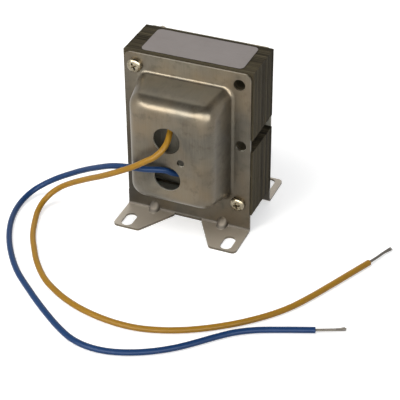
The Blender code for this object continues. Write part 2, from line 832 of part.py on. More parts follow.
def main():
    clear_scene()
    build_core(material("core steel", (0.035, 0.032, 0.027), 0.45, 0.6))
    build_coil(
        material("former nylon", (0.62, 0.6, 0.52), 0.55),
        material("primary wire", (0.38, 0.13, 0.05), 0.3, 0.7),
        material("secondary wire", (0.55, 0.24, 0.09), 0.3, 0.7),
        material("barrier film", (0.55, 0.46, 0.2), 0.35),
        material("coil tape", (0.16, 0.17, 0.14), 0.5),
    )
    build_wedges(material("wedge fibre", (0.3, 0.2, 0.12), 0.8))
    build_splices(material("splice tape", (0.3, 0.3, 0.27), 0.55))
    build_rear_bell(build_front_bell(material("bell steel", (0.3, 0.28, 0.25), 0.35, 0.9)))
    zinc = material("zinc", (0.62, 0.61, 0.58), 0.25, 1.0)
    build_tie("upper", -bolt_x, core_middle + bolt_z, zinc)
    build_tie("lower", bolt_x, core_middle - bolt_z, zinc)
    build_label(material("label foil", (0.33, 0.3, 0.29), 0.4))
    build_leads(
        material("yellow insulation", (0.5, 0.26, 0.03), 0.4),
        material("blue insulation", (0.02, 0.06, 0.22), 0.4),
        material("tinned copper", (0.3, 0.28, 0.25), 0.35, 0.9),
    )


main()
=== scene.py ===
# %% [markdown]
# # A small laminated transformer, dressed for its photograph
#
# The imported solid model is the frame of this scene: it says where everything is, in metres, with
# +Z up and the feet on z = 0. This script hangs finer surfaces on that frame. Each surface is
# worked out with numpy, each finish is made of shader nodes, and nothing is read from disk but
# the frame.

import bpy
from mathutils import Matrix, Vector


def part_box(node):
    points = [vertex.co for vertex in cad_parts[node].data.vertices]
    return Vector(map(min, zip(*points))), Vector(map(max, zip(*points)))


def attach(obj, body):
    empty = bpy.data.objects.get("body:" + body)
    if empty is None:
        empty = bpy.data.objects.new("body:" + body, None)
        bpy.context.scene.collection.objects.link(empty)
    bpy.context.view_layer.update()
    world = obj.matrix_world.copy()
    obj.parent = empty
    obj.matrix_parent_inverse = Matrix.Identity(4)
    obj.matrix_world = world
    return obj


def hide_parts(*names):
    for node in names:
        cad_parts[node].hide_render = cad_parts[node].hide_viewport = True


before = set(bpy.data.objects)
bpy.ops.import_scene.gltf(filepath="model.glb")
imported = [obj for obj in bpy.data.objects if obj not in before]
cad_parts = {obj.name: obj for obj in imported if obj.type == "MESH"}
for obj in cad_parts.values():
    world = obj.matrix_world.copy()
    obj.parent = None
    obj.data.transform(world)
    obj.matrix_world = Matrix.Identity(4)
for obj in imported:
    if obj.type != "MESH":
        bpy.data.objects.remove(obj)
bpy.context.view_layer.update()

# %% The tools and the units
import math

import bmesh
import bpy
import numpy as np
from mathutils import Matrix, Vector
from mathutils.geometry import tessellate_polygon

mm = 0.001
rng = np.random.default_rng(7)
bpy.context.scene.view_settings.view_transform = "Standard"
print("nodes in the frame:", len(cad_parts))

# %% [markdown]
# ## The camera
#
# The photograph was taken from the front right and above with a long lens. Its place was worked
# out from corners whose real distances are known, so it is typed here as a position, a heading, a
# height angle and a small roll. A camera looks along its own -Z, so the three axes are computed
# and become the columns of its matrix.

# %% Place the camera
camera_place = Vector((0.22457, -0.53114, 0.40020))
camera_azimuth, camera_elevation, camera_roll = (math.radians(a) for a in (22.9, 34.65, -0.42))
camera_lens, sensor = 129.67, 36.0

back_axis = Vector((
    math.sin(camera_azimuth) * math.cos(camera_elevation),
    -math.cos(camera_azimuth) * math.cos(camera_elevation),
    math.sin(camera_elevation),
))
level_right = (-back_axis).cross(Vector((0, 0, 1))).normalized()
level_up = level_right.cross(-back_axis)
right_axis = level_right * math.cos(camera_roll) + level_up * math.sin(camera_roll)
up_axis = level_up * math.cos(camera_roll) - level_right * math.sin(camera_roll)
camera = bpy.data.objects.new("camera", bpy.data.cameras.new("camera"))
bpy.context.collection.objects.link(camera)
camera.matrix_world = (
    Matrix.Translation(camera_place)
    @ Matrix((right_axis, up_axis, back_axis)).transposed().to_4x4()
)
camera.data.lens = camera_lens
camera.data.sensor_width = sensor
camera.data.clip_start = 0.01
bpy.context.scene.camera = camera
print("camera is", round(camera_place.length, 3), "m from the origin")

# %% [markdown]
# ## Shader maths as plain expressions
#
# A finish is a graph of nodes. Writing `0.2 + 0.1 * grain` is easier to read than joining Math
# nodes by hand, so a small class wraps a node's output and adds the Math node for each operator.
# Everything else goes through one method that makes a node, sets it up and fills its inputs. That
# method belongs to a class for any node tree, since the world has a tree of its own, and a finish
# adds to it what only materials need.


# %% A socket that does sums
class Signal:
    """A node's output. An operator on it adds the Math node that does the same sum."""

    def __init__(self, wiring, output):
        self.wiring, self.output = wiring, output

    def sum_with(self, operation, *values):
        """The given Math operation on these values, in order."""
        inputs = dict(enumerate(values))
        return self.wiring.put("ShaderNodeMath", inputs, operation=operation)

    def __add__(self, other):
        return self.sum_with("ADD", self, other)

    def __sub__(self, other):
        return self.sum_with("SUBTRACT", self, other)

    def __rsub__(self, other):
        return self.sum_with("SUBTRACT", other, self)

    def __mul__(self, other):
        return self.sum_with("MULTIPLY", self, other)

    def __abs__(self):
        return self.sum_with("ABSOLUTE", self)

    def floor(self):
        """The whole number just below."""
        return self.sum_with("FLOOR", self)

    __radd__ = __add__
    __rmul__ = __mul__


print("a signal takes +, -, *, abs() and floor()")


# %% Wiring nodes together
class Wiring:
    """A node tree. put() adds any node to it, and range() is a short way to a common one."""

    def __init__(self, tree):
        self.tree = tree

    def put(self, kind, inputs=None, output=0, **settings):
        """A node of this kind: its settings first, then its inputs. Returns one output."""
        made = self.tree.nodes.new(kind)
        for key, value in settings.items():
            setattr(made, key, value)
        for key, value in (inputs or {}).items():
            self.join(made.inputs[key], value)
        return Signal(self, made.outputs[output])

    def join(self, socket, value):
        """Links a signal to a socket, or types a value on it."""
        if isinstance(value, Signal):
            self.tree.links.new(value.output, socket)
        elif socket.type == "RGBA" and len(value) == 3:
            socket.default_value = (*value, 1.0)
        else:
            socket.default_value = value

    def range(self, value, low, high, new_low=0.0, new_high=1.0):
        """value moved from the range low-high to the range new_low-new_high, and kept in it."""
        inputs = {"Value": value, 1: low, 2: high, 3: new_low, 4: new_high}
        return self.put("ShaderNodeMapRange", inputs)

    def below(self, value, low, high):
        """1 where value is under low, falling to 0 at high."""
        return self.range(value, low, high, 1.0, 0.0)

    def part(self, vector, axis):
        """One part of a vector: along X, Y or Z."""
        return self.put("ShaderNodeSeparateXYZ", {"Vector": vector}, output=axis)


print("a wiring can put, join, range, below and part")


# %% A finish under construction
class Finish(Wiring):
    """One material, whose patterns are laid out in metres along the object's own axes."""

    def __init__(self, name, **constants):
        self.material = bpy.data.materials.new(name)
        self.material.use_nodes = True
        super().__init__(self.material.node_tree)
        self.shader = self.tree.nodes["Principled BSDF"]
        coordinates = self.tree.nodes.new("ShaderNodeTexCoord").outputs
        self.place, self.normal = (Signal(self, coordinates[kind]) for kind in ("Object", "Normal"))
        for key, value in constants.items():
            self.feed(key.replace("_", " ").title(), value)

    def feed(self, name, value):
        """Gives the shader one of its inputs."""
        self.join(self.shader.inputs[name], value)

    def stretched(self, scale, turn=(0.0, 0.0, 0.0)):
        """Object coordinates in metres, scaled along each axis, so that a pattern is drawn out."""
        inputs = {"Vector": self.place, "Scale": scale, "Rotation": turn}
        return self.put("ShaderNodeMapping", inputs)

    def noise(self, scale, detail=2.0, roughness=0.5, vector=None, distortion=0.0):
        """Soft noise from 0 to 1; scale is in lumps per metre."""
        inputs = {
            "Vector": vector or self.place,
            "Scale": scale,
            "Detail": detail,
            "Roughness": roughness,
            "Distortion": distortion,
        }
        return self.put("ShaderNodeTexNoise", inputs)

    def patches(self, low, high, *noise, **more):
        """Noise with its range low-high drawn out to 0-1, so that it gathers into patches."""
        return self.range(self.noise(*noise, **more), low, high)

    def mix(self, share, first, second):
        """From the first colour to the second as share goes from 0 to 1."""
        inputs = {0: share, 6: first, 7: second}
        return self.put("ShaderNodeMix", inputs, output=2, data_type="RGBA")

    def bump(self, height, depth, strength=1.0, after=None):
        """Tilts the surface as if height, from 0 to 1, raised it by depth."""
        inputs = {"Height": height, "Distance": depth, "Strength": strength}
        if after:
            inputs["Normal"] = after
        return self.put("ShaderNodeBump", inputs)

    def facing(self, axis):
        """How squarely the surface faces along an object axis, from -1 to 1."""
        return self.part(self.normal, axis)


print("the shader tools are ready")

# %% [markdown]
# ## From numbers to pieces
#
# A surface is a grid of points, and its faces only join neighbours on that grid. So one function
# makes the faces of every grid, and another turns points and faces into an object that rides on
# the frame's one body. Modifiers can join, cut and bevel a mesh, so a few more functions run one
# and keep its result: the piece is then a plain mesh.


# %% Grids and caps
def full_turn(count):
    """Angles that go once round in count equal steps."""
    return np.linspace(0, 2 * np.pi, count, endpoint=False)


def grid_faces(rows, columns, round_rows=False, round_columns=False):
    """Quads of a grid: each joins a point to the next one in its row, its column and across."""
    r, c = np.meshgrid(
        np.arange(rows if round_rows else rows - 1),
        np.arange(columns if round_columns else columns - 1),
        indexing="ij",
    )
    r, c = r.ravel(), c.ravel()
    r_next, c_next = (r + 1) % rows, (c + 1) % columns
    here, below = r * columns, r_next * columns
    return np.stack([here + c, here + c_next, below + c_next, below + c], axis=1)


def capped(rings):
    """The skin through rings of points, shape (rings, points, 3), with a flat face on each end."""
    rings = np.asarray(rings, float)
    count, size = rings.shape[:2]
    faces = grid_faces(count, size, round_columns=True).tolist()
    faces += [list(range(size)), list(range((count - 1) * size, count * size))]
    return rings.reshape(-1, 3), faces


def looped(rings):
    """The skin through rings of points that come round to the first ring again, as on a tyre."""
    count, size = rings.shape[:2]
    return rings.reshape(-1, 3), grid_faces(count, size, True, True).tolist()


print("a grid of 3 by 4 points has", len(grid_faces(3, 4)), "faces")


# %% Objects
def together(shapes):
    """Several shapes as one: the later ones' faces count on from the earlier ones' points."""
    points, faces, start = [], [], 0
    for some_points, some_faces in shapes:
        points.append(some_points)
        faces += [[start + k for k in face] for face in some_faces]
        start += len(some_points)
    return np.concatenate(points), faces


def make_object(name, points, faces):
    """An object at the origin with its faces pointing outwards."""
    mesh = bpy.data.meshes.new(name)
    mesh.from_pydata(np.asarray(points).tolist(), [], faces)
    shape = bmesh.new()
    shape.from_mesh(mesh)
    bmesh.ops.recalc_face_normals(shape, faces=shape.faces)
    shape.to_mesh(mesh)
    shape.free()
    made = bpy.data.objects.new(name, mesh)
    bpy.context.collection.objects.link(made)
    return made


print("shapes can be made objects")


# %% Modifiers, worked out at once
def settle(piece):
    """Works out the modifiers of a piece and keeps their result as its mesh."""
    graph = bpy.context.evaluated_depsgraph_get()
    old = piece.data
    piece.data = bpy.data.meshes.new_from_object(piece.evaluated_get(graph))
    piece.modifiers.clear()
    bpy.data.meshes.remove(old)


def carve(piece, operation, shapes):
    """Joins closed shapes to a piece, cuts them from it or keeps only what they hold."""
    tools = [make_object(f"tool_{k}", *shape) for k, shape in enumerate(shapes)]
    for tool in tools:
        step = piece.modifiers.new(tool.name, "BOOLEAN")
        step.operation, step.solver, step.object = operation, "EXACT", tool
    settle(piece)
    for tool in tools:
        bpy.data.objects.remove(tool)


def ease_edges(piece, width, segments=2, angle=40.0):
    """Rounds the edges that are sharper than angle, as tumbling or rolling does."""
    step = piece.modifiers.new("eased edges", "BEVEL")
    step.width, step.segments, step.angle_limit = width, segments, math.radians(angle)
    step.limit_method = "ANGLE"
    settle(piece)


print("pieces can be joined, cut and eased")


# %% Shading and a place on the frame
def shade(piece, angle):
    """Smooth shading, except across edges that turn by more than angle."""
    piece.data.shade_smooth()
    piece.data.set_sharp_from_angle(angle=math.radians(angle))


def fit(piece, finish, slot, *nodes):
    """Gives a piece its finish and hangs it on the frame for these nodes. slot is not used."""
    piece.data.materials.clear()
    piece.data.materials.append(finish.material)
    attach(piece, "root")
    if nodes:
        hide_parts(*nodes)
    corners = sum(len(face.vertices) - 2 for face in piece.data.polygons)
    print(f"{piece.name}: {corners} triangles")


# %% [markdown]
# ## The two leads
#
# Each lead is soft hook-up wire: a bundle of tinned strands in a coloured plastic skin, stripped
# at the far end. Such a wire is about as stiff as a shoelace, so it leaves its hole, falls to the
# table in one bend and lies there in a slack curve. The route is a list of points that the
# wire's middle passes, the same as in the solid model, and a smooth curve goes through them. A
# curve object with a bevel could show the skin, but a tube made here can end in a cut rim with
# the strands coming out of it.

# %% The routes, in millimetres
yellow_route = [
    (-2.4, -26.7, 63.6), (-2.4, -26.75, 61.0), (-2.25, -27.6, 58.4), (-1.8, -30.0, 56.2),
    (-1.5, -33.0, 54.2), (-2.7, -36.2, 51.3), (-5.8, -38.4, 48.0), (-10.4, -39.4, 45.0),
    (-15.8, -39.5, 41.2), (-23.0, -38.6, 36.5), (-29.0, -37.1, 32.5), (-35.4, -35.0, 28.2),
    (-42.1, -32.4, 23.8), (-48.9, -29.9, 19.2), (-55.6, -28.0, 14.7), (-61.6, -27.4, 10.4),
    (-66.0, -28.7, 6.6), (-68.4, -32.2, 3.7), (-68.4, -38.0, 2.1), (-66.3, -45.0, 1.55),
    (-61.7, -56.0, 1.5), (-55.6, -66.0, 1.5), (-50.0, -74.0, 1.5), (-41.0, -83.6, 1.5),
    (-32.8, -89.4, 1.5), (-24.2, -93.9, 1.5), (-14.3, -97.4, 1.5), (-1.8, -99.7, 1.5),
    (9.1, -99.9, 1.5), (17.9, -98.4, 1.5), (30.0, -94.0, 1.5), (41.4, -87.5, 1.5),
    (52.2, -79.4, 1.5), (62.0, -69.9, 1.5), (68.8, -61.2, 1.5), (74.6, -51.0, 1.5),
    (80.1, -39.9, 1.5), (85.7, -28.2, 1.5), (91.1, -16.9, 1.5),
]
blue_route = [
    (8.6, -26.7, 34.0), (6.0, -26.75, 34.0), (3.0, -28.1, 34.7), (-0.2, -31.0, 36.5),
    (-2.3, -33.4, 38.7), (-5.5, -35.2, 39.5), (-10.1, -35.9, 38.9), (-15.3, -35.8, 38.1),
    (-21.6, -35.0, 37.0), (-30.2, -32.3, 33.7), (-39.5, -28.6, 28.3), (-49.1, -24.7, 22.1),
    (-58.5, -22.2, 15.9), (-66.8, -21.5, 10.6), (-73.2, -22.7, 6.4), (-77.4, -26.0, 3.7),
    (-79.5, -32.0, 2.0), (-79.0, -41.0, 1.55), (-76.3, -50.8, 1.5), (-71.5, -61.2, 1.5),
    (-64.6, -72.0, 1.5), (-55.4, -83.1, 1.5), (-43.2, -93.9, 1.5), (-30.6, -104.0, 1.5),
    (-18.8, -112.3, 1.5), (-10.8, -116.6, 1.5), (-3.0, -118.6, 1.5), (5.6, -118.5, 1.5),
    (14.3, -116.2, 1.5), (23.9, -111.6, 1.5), (32.6, -105.5, 1.5), (39.5, -99.0, 1.5),
    (45.9, -92.4, 1.5), (52.5, -86.4, 1.5), (60.2, -81.6, 1.5), (71.8, -76.6, 1.5),
    (84.0, -71.8, 1.5),
]
yellow_tip = [(93.3, -11.8, 1.45), (95.2, -6.7, 1.3), (97.4, -2.0, 1.0)]
blue_tip = [(88.3, -69.9, 1.45), (92.4, -67.8, 1.25), (96.0, -65.3, 0.95)]
cup_depth = 0.6
print("route points:", len(yellow_route), "yellow and", len(blue_route), "blue")


# %% A smooth path
def smooth_path(route, spacing):
    """Points of a smooth curve through a route in millimetres, in metres and spacing apart.

    Between two route points the curve is the cubic that meets both with the slopes there. The
    slopes are measured against the square root of each chord's length, which keeps the curve
    from swinging wide where the points are far apart.
    """
    knots = np.array(route) * mm
    chords = np.linalg.norm(np.diff(knots, axis=0), axis=1)
    at = np.concatenate([[0.0], np.cumsum(np.sqrt(chords))])
    slopes = np.gradient(knots, at, axis=0)
    t = np.linspace(0, 1, 24, endpoint=False)[None, :, None]
    span = np.diff(at)[:, None, None]
    fine = (
        (2 * t**3 - 3 * t**2 + 1) * knots[:-1, None]
        + (t**3 - 2 * t**2 + t) * span * slopes[:-1, None]
        + (3 * t**2 - 2 * t**3) * knots[1:, None]
        + (t**3 - t**2) * span * slopes[1:, None]
    )
    fine = np.concatenate([fine.reshape(-1, 3), knots[-1:]])
    along = np.concatenate([[0.0], np.cumsum(np.linalg.norm(np.diff(fine, axis=0), axis=1))])
    stops = np.linspace(0, along[-1], max(2, round(along[-1] / spacing) + 1))
    return np.stack([np.interp(stops, along, fine[:, k]) for k in range(3)], axis=1)


def path_length(path):
    """The sum of the distances between neighbouring points."""
    return float(np.linalg.norm(np.diff(path, axis=0), axis=1).sum())


lead_step = 0.8 * mm
for way, line in (("chords", yellow_route), ("curve", smooth_path(yellow_route, lead_step) / mm)):
    print("the yellow lead by its", way, round(path_length(line), 1), "mm")


# %% The tube round a path
def cross_axes(path):
    """Two unit vectors across a path at each point, carried along it so that they don't spin."""
    ahead = np.gradient(path, axis=0)
    ahead /= np.linalg.norm(ahead, axis=1, keepdims=True)
    side = np.empty_like(path)
    start = np.cross(ahead[0], (0.0, 1.0, 0.0))
    side[0] = start / np.linalg.norm(start)
    for k in range(1, len(path)):
        turned_side = side[k - 1] - ahead[k] * (side[k - 1] @ ahead[k])
        side[k] = turned_side / np.linalg.norm(turned_side)
    return side, np.cross(ahead, side)


def tube(path, radii, sides):
    """A round skin along a path: middle + radius * (cos * side axis + sin * other axis)."""
    side, other = cross_axes(path)
    turn = full_turn(sides)[None, :, None]
    ring = np.cos(turn) * side[:, None] + np.sin(turn) * other[:, None]
    return path[:, None] + radii[:, None, None] * ring


print("paths can carry tubes")

# %% The skin of a lead
lead_radius, skin_sides = 1.4 * mm, 24
print("a lead is", round(2 * lead_radius / mm, 2), "mm thick")


def lead_skin(path):
    """The plastic skin: a tube that ends in a rounded rim and a cup for the strands.

    The rim is a short table of steps along the path, in millimetres, and shares of the radius.
    """
    radii = np.full(len(path) - 1, lead_radius)
    end = path[-1]
    ahead = (end - path[-2]) / np.linalg.norm(end - path[-2])
    rim = [(-0.12, 1.0), (-0.03, 0.97), (0.0, 0.9), (0.0, 0.5), (-0.15, 0.47), (-cup_depth, 0.47)]
    shift = np.array([step for step, _ in rim])[:, None] * mm
    side, other = (axis[-1] for axis in cross_axes(path))
    turn = full_turn(skin_sides)[:, None]
    circle = np.cos(turn) * side + np.sin(turn) * other
    share = np.array([size for _, size in rim])[:, None, None] * lead_radius
    rings = tube(path[:-1], radii, skin_sides)
    return capped(np.concatenate([rings, (end + shift * ahead)[:, None] + share * circle]))


# %% [markdown]
# ## The finish of the leads
#
# The skin is soft PVC: the colour is even, with a faint cloudiness, light scuffs and a dull
# shine. Only its roughness and a fine bump change along the wire, because moulded colour goes
# right through. The strands are tinned copper, so they shine like dull silver with grey
# tarnish.


# %% Plastic skins and tinned strands
def skin_finish(name, colour, worn):
    made = Finish(name)
    made.feed("Specular IOR Level", 0.16)
    cloud = made.noise(160.0, 3.0)
    scuff = made.patches(0.6, 0.78, 1900.0, 4.0, 0.65)
    made.feed("Base Color", made.mix(made.range(cloud, 0.35, 0.75) * 0.45 + scuff * 0.3, colour, worn))
    made.feed("Roughness", 0.3 + 0.14 * cloud + 0.2 * scuff)
    made.feed("Normal", made.bump(made.noise(2600.0, 3.0), 0.03 * mm, 0.5))
    return made


yellow_plastic = skin_finish("yellow plastic skin", (0.35, 0.18, 0.015), (0.28, 0.145, 0.02))
blue_plastic = skin_finish("blue plastic skin", (0.008, 0.038, 0.125), (0.015, 0.05, 0.145))

tinned = Finish("tinned strands", metallic=0.9)
tarnish = tinned.patches(0.35, 0.7, 2400.0, 4.0, 0.6)
tinned.feed("Base Color", tinned.mix(tarnish, (0.24, 0.225, 0.2), (0.1, 0.088, 0.07)))
tinned.feed("Roughness", 0.3 + 0.25 * tarnish)
tinned.feed("Normal", tinned.bump(tinned.noise(6000.0, 2.0), 0.02 * mm, 0.5))
print("finishes for the leads are ready")


# %% [markdown]
# ## The stripped ends
#
# Where the skin is cut away the strands show: one in the middle, six round it and twelve round
# those, all twisted together. The bundle is a set of thin tubes whose middles run in screw
# lines round the path. Near the tip they loosen and end at slightly different lengths.


# %% Twisted strands
strand_layers = np.repeat([0, 1, 2], [1, 6, 12])
print("strands in a lead:", len(strand_layers))


def strand_bundle(path, strand_radius=0.125 * mm, lay=11.0 * mm, sides=7):
    """Nineteen thin tubes: each middle is the path plus a circle that turns once per lay.

    They loosen over the last part of the path, and each is trimmed and turned a little at random.
    """
    side, other = cross_axes(path)
    steps = np.linalg.norm(np.diff(path, axis=0), axis=1)
    along = np.concatenate([[0.0], np.cumsum(steps)])
    start = np.concatenate([[0.0], np.arange(6) / 6, np.arange(12) / 12]) * 2 * np.pi
    loosen = 1 + 0.5 * np.clip((along / along[-1] - 0.6) / 0.4, 0, 1) ** 2
    trim = rng.uniform(0.94, 1.0, len(start))[:, None]
    at = along[None] * trim
    angle = start[:, None] + 2 * np.pi * at / lay + rng.normal(0, 0.08, len(start))[:, None]
    reach = strand_layers[:, None] * 2.02 * strand_radius * loosen[None]

    def value(field):
        return np.stack([np.interp(at, along, field[:, k]) for k in range(3)], axis=-1)

    middle, side, other = value(path), value(side), value(other)
    middle = middle + reach[..., None] * (
        np.cos(angle)[..., None] * side + np.sin(angle)[..., None] * other
    )
    turn = full_turn(sides)[None, None, :, None]
    ring = np.cos(turn) * side[:, :, None] + np.sin(turn) * other[:, :, None]
    rings = middle[:, :, None] + strand_radius * ring
    return together([capped(strand) for strand in rings])


# %% Lay the leads and say what they are
for colour, route, tip, plastic in (
    ("yellow", yellow_route, yellow_tip, yellow_plastic),
    ("blue", blue_route, blue_tip, blue_plastic),
):
    middle_line = smooth_path(route, lead_step)
    insulation = make_object(f"{colour}_lead_skin", *lead_skin(middle_line))
    shade(insulation, 35.0)
    fit(insulation, plastic, f"{colour}_insulation", f"{colour}_lead")
    end, ahead = np.array(route[-1]), np.array(tip[0]) - route[-1]
    cup_floor = end - cup_depth * ahead / np.linalg.norm(ahead)
    tip_line = smooth_path([cup_floor, end, *tip], 0.3 * mm)
    strands = make_object(f"{colour}_lead_strands", *strand_bundle(tip_line))
    shade(strands, 60.0)
    fit(strands, tinned, "tinned_copper", f"{colour}_lead_conductor")
    print(colour, "lead is", round(path_length(middle_line) * 1000), "mm long")

# %% [markdown]
# ## Table, lamps and surroundings
#
# The photograph has a plain white ground. A floor that is simply lit until it is white would
# also burn out the object, so the floor glows a little, but only for the camera and for
# reflections. The shadow stays, since the rest of the floor's light still comes from the lamps.
# The world does the same: it lights the object dimly, but the camera and the metal see it white.
# Overhead it darkens in reflections, as a dark ceiling does, so that the dome gets its contrast.
#
# Bare metal shows what stands round it more than it shows light, so the two jobs are split. A
# ceiling lamp on the left, a softbox in front and a small fill near the camera light dull
# surfaces and can't be seen in shiny ones. Two wide cards are seen only in shiny ones: they draw
# the bright line along the dome's upper edge and round its corner. One lamp behind does both.

# %% The floor
floor_size, floor_glow, white = 6.0, 0.52, (1.0, 1.0, 1.0)
floor = make_object(
    "floor",
    np.array([(-1, -1, 0), (1, -1, 0), (1, 1, 0), (-1, 1, 0)]) * floor_size / 2,
    [[0, 1, 2, 3]],
)
floor_finish = Finish("pale floor", roughness=0.9, base_color=(0.75, 0.75, 0.75))
floor_finish.feed("Specular IOR Level", 0.1)


def seen_directly(wiring):
    """1 for the rays that show a surface as such or in a mirror or glass, and 0 for light."""
    kinds = ("Camera", "Glossy", "Transmission")
    return sum(wiring.put("ShaderNodeLightPath", output=f"Is {kind} Ray") for kind in kinds)


glow_strength = seen_directly(floor_finish) * floor_glow
glow = floor_finish.put("ShaderNodeEmission", {"Color": white, "Strength": glow_strength})
lit = Signal(floor_finish, floor_finish.shader.outputs[0])
both = floor_finish.put("ShaderNodeAddShader", {0: lit, 1: glow})
floor_finish.join(floor_finish.tree.nodes["Material Output"].inputs["Surface"], both)
floor.data.materials.append(floor_finish.material)
print("the floor is", floor_size, "m wide")

# %% The world: dim for light, white for the eye, and in mirrors white below and dark overhead
world = bpy.data.worlds.new("studio")
bpy.context.scene.world = world
world.use_nodes = True
studio = Wiring(world.node_tree)
direction = studio.put("ShaderNodeTexCoord", output="Generated")
in_mirror = studio.put("ShaderNodeLightPath", output="Is Glossy Ray")
mirrored_level = studio.range(studio.part(direction, "Z"), 0.5, 0.85, 1.0, 0.07)
backdrop_level = 1 - in_mirror * (1 - mirrored_level)
backdrop = studio.put("ShaderNodeBackground", {"Color": white, "Strength": backdrop_level})
room = studio.put("ShaderNodeBackground", {"Color": (0.95, 0.97, 1.0), "Strength": 0.42})
shown = studio.put("ShaderNodeMixShader", {0: seen_directly(studio), 1: room, 2: backdrop})
studio.join(studio.tree.nodes["World Output"].inputs["Surface"], shown)
print("the world has", len(studio.tree.nodes), "nodes")


# %% The lamps
def lamp(name, place, aim, size, power, colour, lights=True, mirrored=True):
    """A rectangular soft lamp at place, turned towards aim.

    It lights dull surfaces if lights is set, and shiny ones show it if mirrored is set.
    """
    data = bpy.data.lights.new(name, "AREA")
    data.shape, data.size, data.size_y = "RECTANGLE", *size
    data.energy, data.color = power, colour
    made = bpy.data.objects.new(name, data)
    bpy.context.collection.objects.link(made)
    made.location = place
    made.rotation_euler = (Vector(aim) - Vector(place)).to_track_quat("-Z", "Y").to_euler()
    made.visible_diffuse, made.visible_glossy = lights, mirrored


middle = (0.0, 0.0, 0.045)
warm, cool = (1.0, 0.97, 0.92), (0.95, 0.98, 1.0)
lamp("ceiling", (-0.25, -0.4, 0.95), middle, (0.5, 0.5), 5.0, warm, mirrored=False)
lamp("softbox", (-0.4, -1.0, 0.42), middle, (0.3, 0.42), 3.2, warm, mirrored=False)
lamp("card", (-0.2, -1.1, 0.44), middle, (1.35, 0.52), 23.5, warm, lights=False)
lamp("side card", (0.66, -0.72, 0.36), middle, (0.6, 0.45), 8.0, warm, lights=False)
lamp("fill", (0.3, -0.76, 0.56), middle, (0.12, 0.12), 1.2, cool, mirrored=False)
lamp("rim", (-0.22, 0.84, 0.66), middle, (0.7, 0.3), 1.6, warm)

# %% [markdown]
# ## The end bells
#
# Each end bell is one piece of sheet steel, a millimetre thick. A press draws the middle out
# into a dome with rounded edges, punches the holes, shears the outline and bends two feet
# forward. The solid model keeps few faces, so its roundings are coarse. Here the same steps
# are done again with many more: a bent strip, cut to its outline, joined to the dome and the
# stiffening darts, then hollowed and pierced. The dome is a family of rounded rectangles, one
# for each station along its drawn section, so one formula gives the whole surface.

# %% Sizes of the pressing
core_low, core_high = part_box("e_laminations")
core_half_x, core_face = core_high.x, core_high.y
core_base, core_top = core_low.z, core_high.z
core_middle = (core_base + core_top) / 2
bolt_x, bolt_z, bolt_hole_radius = 25.4 * mm, 31.75 * mm, 2.75 * mm

sheet = 1.0 * mm
flange_back = core_face + 0.1 * mm
flange_front = flange_back + sheet
flange_half_x, flange_top, flange_corner = 31.05 * mm, 84.8 * mm, 3.2 * mm
dome_height, dome_half_x, dome_half_z = 19.5 * mm, 23.0 * mm, 29.45 * mm
dome_middle_x, dome_middle_z = -1.0 * mm, core_middle - 0.75 * mm
dome_draft, root_radius, nose_radius = 2.9 * mm, 1.6 * mm, 6.5 * mm
root_corner, nose_corner = 5.0 * mm, 6.5 * mm
root_start = 0.12
foot_half_x, foot_tip, foot_inner, foot_root = 31.3 * mm, 32.6 * mm, 18.0 * mm, 7.1 * mm
foot_corner, bend_radius, shear_step = 2.2 * mm, 1.0 * mm, 0.15 * mm
slot_half_x, slot_half_y, slot_corner, slot_y = 2.8 * mm, 5.1 * mm, 2.797 * mm, -26.5 * mm
dart_radius, dart_reach, dart_x = 2.6 * mm, 4.4 * mm, 17.6 * mm
spare = 3.0 * mm
print("the core's middle is at", round(core_middle / mm, 2), "mm")


# %% Outlines with rounded corners
def rounded_loop(half_u, half_v, radius, per_corner):
    """A rounded rectangle: each corner's middle plus radius * (cos, sin) over its quarter turn.

    The sizes may be arrays, one value per ring, and then all the rings come at once.
    """
    half_u, half_v, radius = (np.atleast_1d(v)[:, None, None] for v in (half_u, half_v, radius))
    quarter = np.arange(4)[:, None] * np.pi / 2
    turn = (quarter + np.linspace(0, np.pi / 2, per_corner + 1))[None]
    sign_u = np.array([1, -1, -1, 1])[None, :, None]
    sign_v = np.array([1, 1, -1, -1])[None, :, None]
    u = sign_u * (half_u - radius) + radius * np.cos(turn)
    v = sign_v * (half_v - radius) + radius * np.sin(turn)
    return np.stack([u, v], axis=-1).reshape(len(u), -1, 2)


def rounded_corners(corners, radii, segments=8):
    """A polygon whose corners are arcs that touch both sides; a radius of 0 stays sharp."""
    corners = np.array(corners)
    outline = []
    for before, at, after, radius in zip(
        np.roll(corners, 1, axis=0), corners, np.roll(corners, -1, axis=0), radii
    ):
        u, v = (before - at) / np.linalg.norm(before - at), (after - at) / np.linalg.norm(after - at)
        half = math.acos(float(np.clip(u @ v, -1, 1))) / 2
        if radius == 0:
            outline.append(at[None])
            continue
        centre = at + (u + v) / np.linalg.norm(u + v) * radius / math.sin(half)
        start, end = (at + way * radius / math.tan(half) - centre for way in (u, v))
        sweep = math.atan2(start[0] * end[1] - start[1] * end[0], float(start @ end))
        turn = math.atan2(start[1], start[0]) + sweep * np.linspace(0, 1, segments + 1)
        outline.append(centre + radius * np.stack([np.cos(turn), np.sin(turn)], axis=1))
    return np.concatenate(outline)


print("points on a loop with 8 steps to a corner:", rounded_loop(2.0, 1.0, 0.5, 8).shape[1])


# %% Circles and straight runs
def round_outline(x, z, radius, sides):
    """A circle in the plane of a flange."""
    turn = (np.arange(sides) + 0.5) * 2 * np.pi / sides
    return np.stack([x + radius * np.cos(turn), z + radius * np.sin(turn)], axis=1)


def prism(outline, low, high, axis):
    """An outline run straight along Y or Z, from low to high."""
    def at(level):
        return np.insert(outline, axis, level, axis=1)

    return capped(np.stack([at(low), at(high)]))


print("points of a six-sided bar:", len(prism(round_outline(0, 0, 1, 6), 0, 1, 1)[0]))


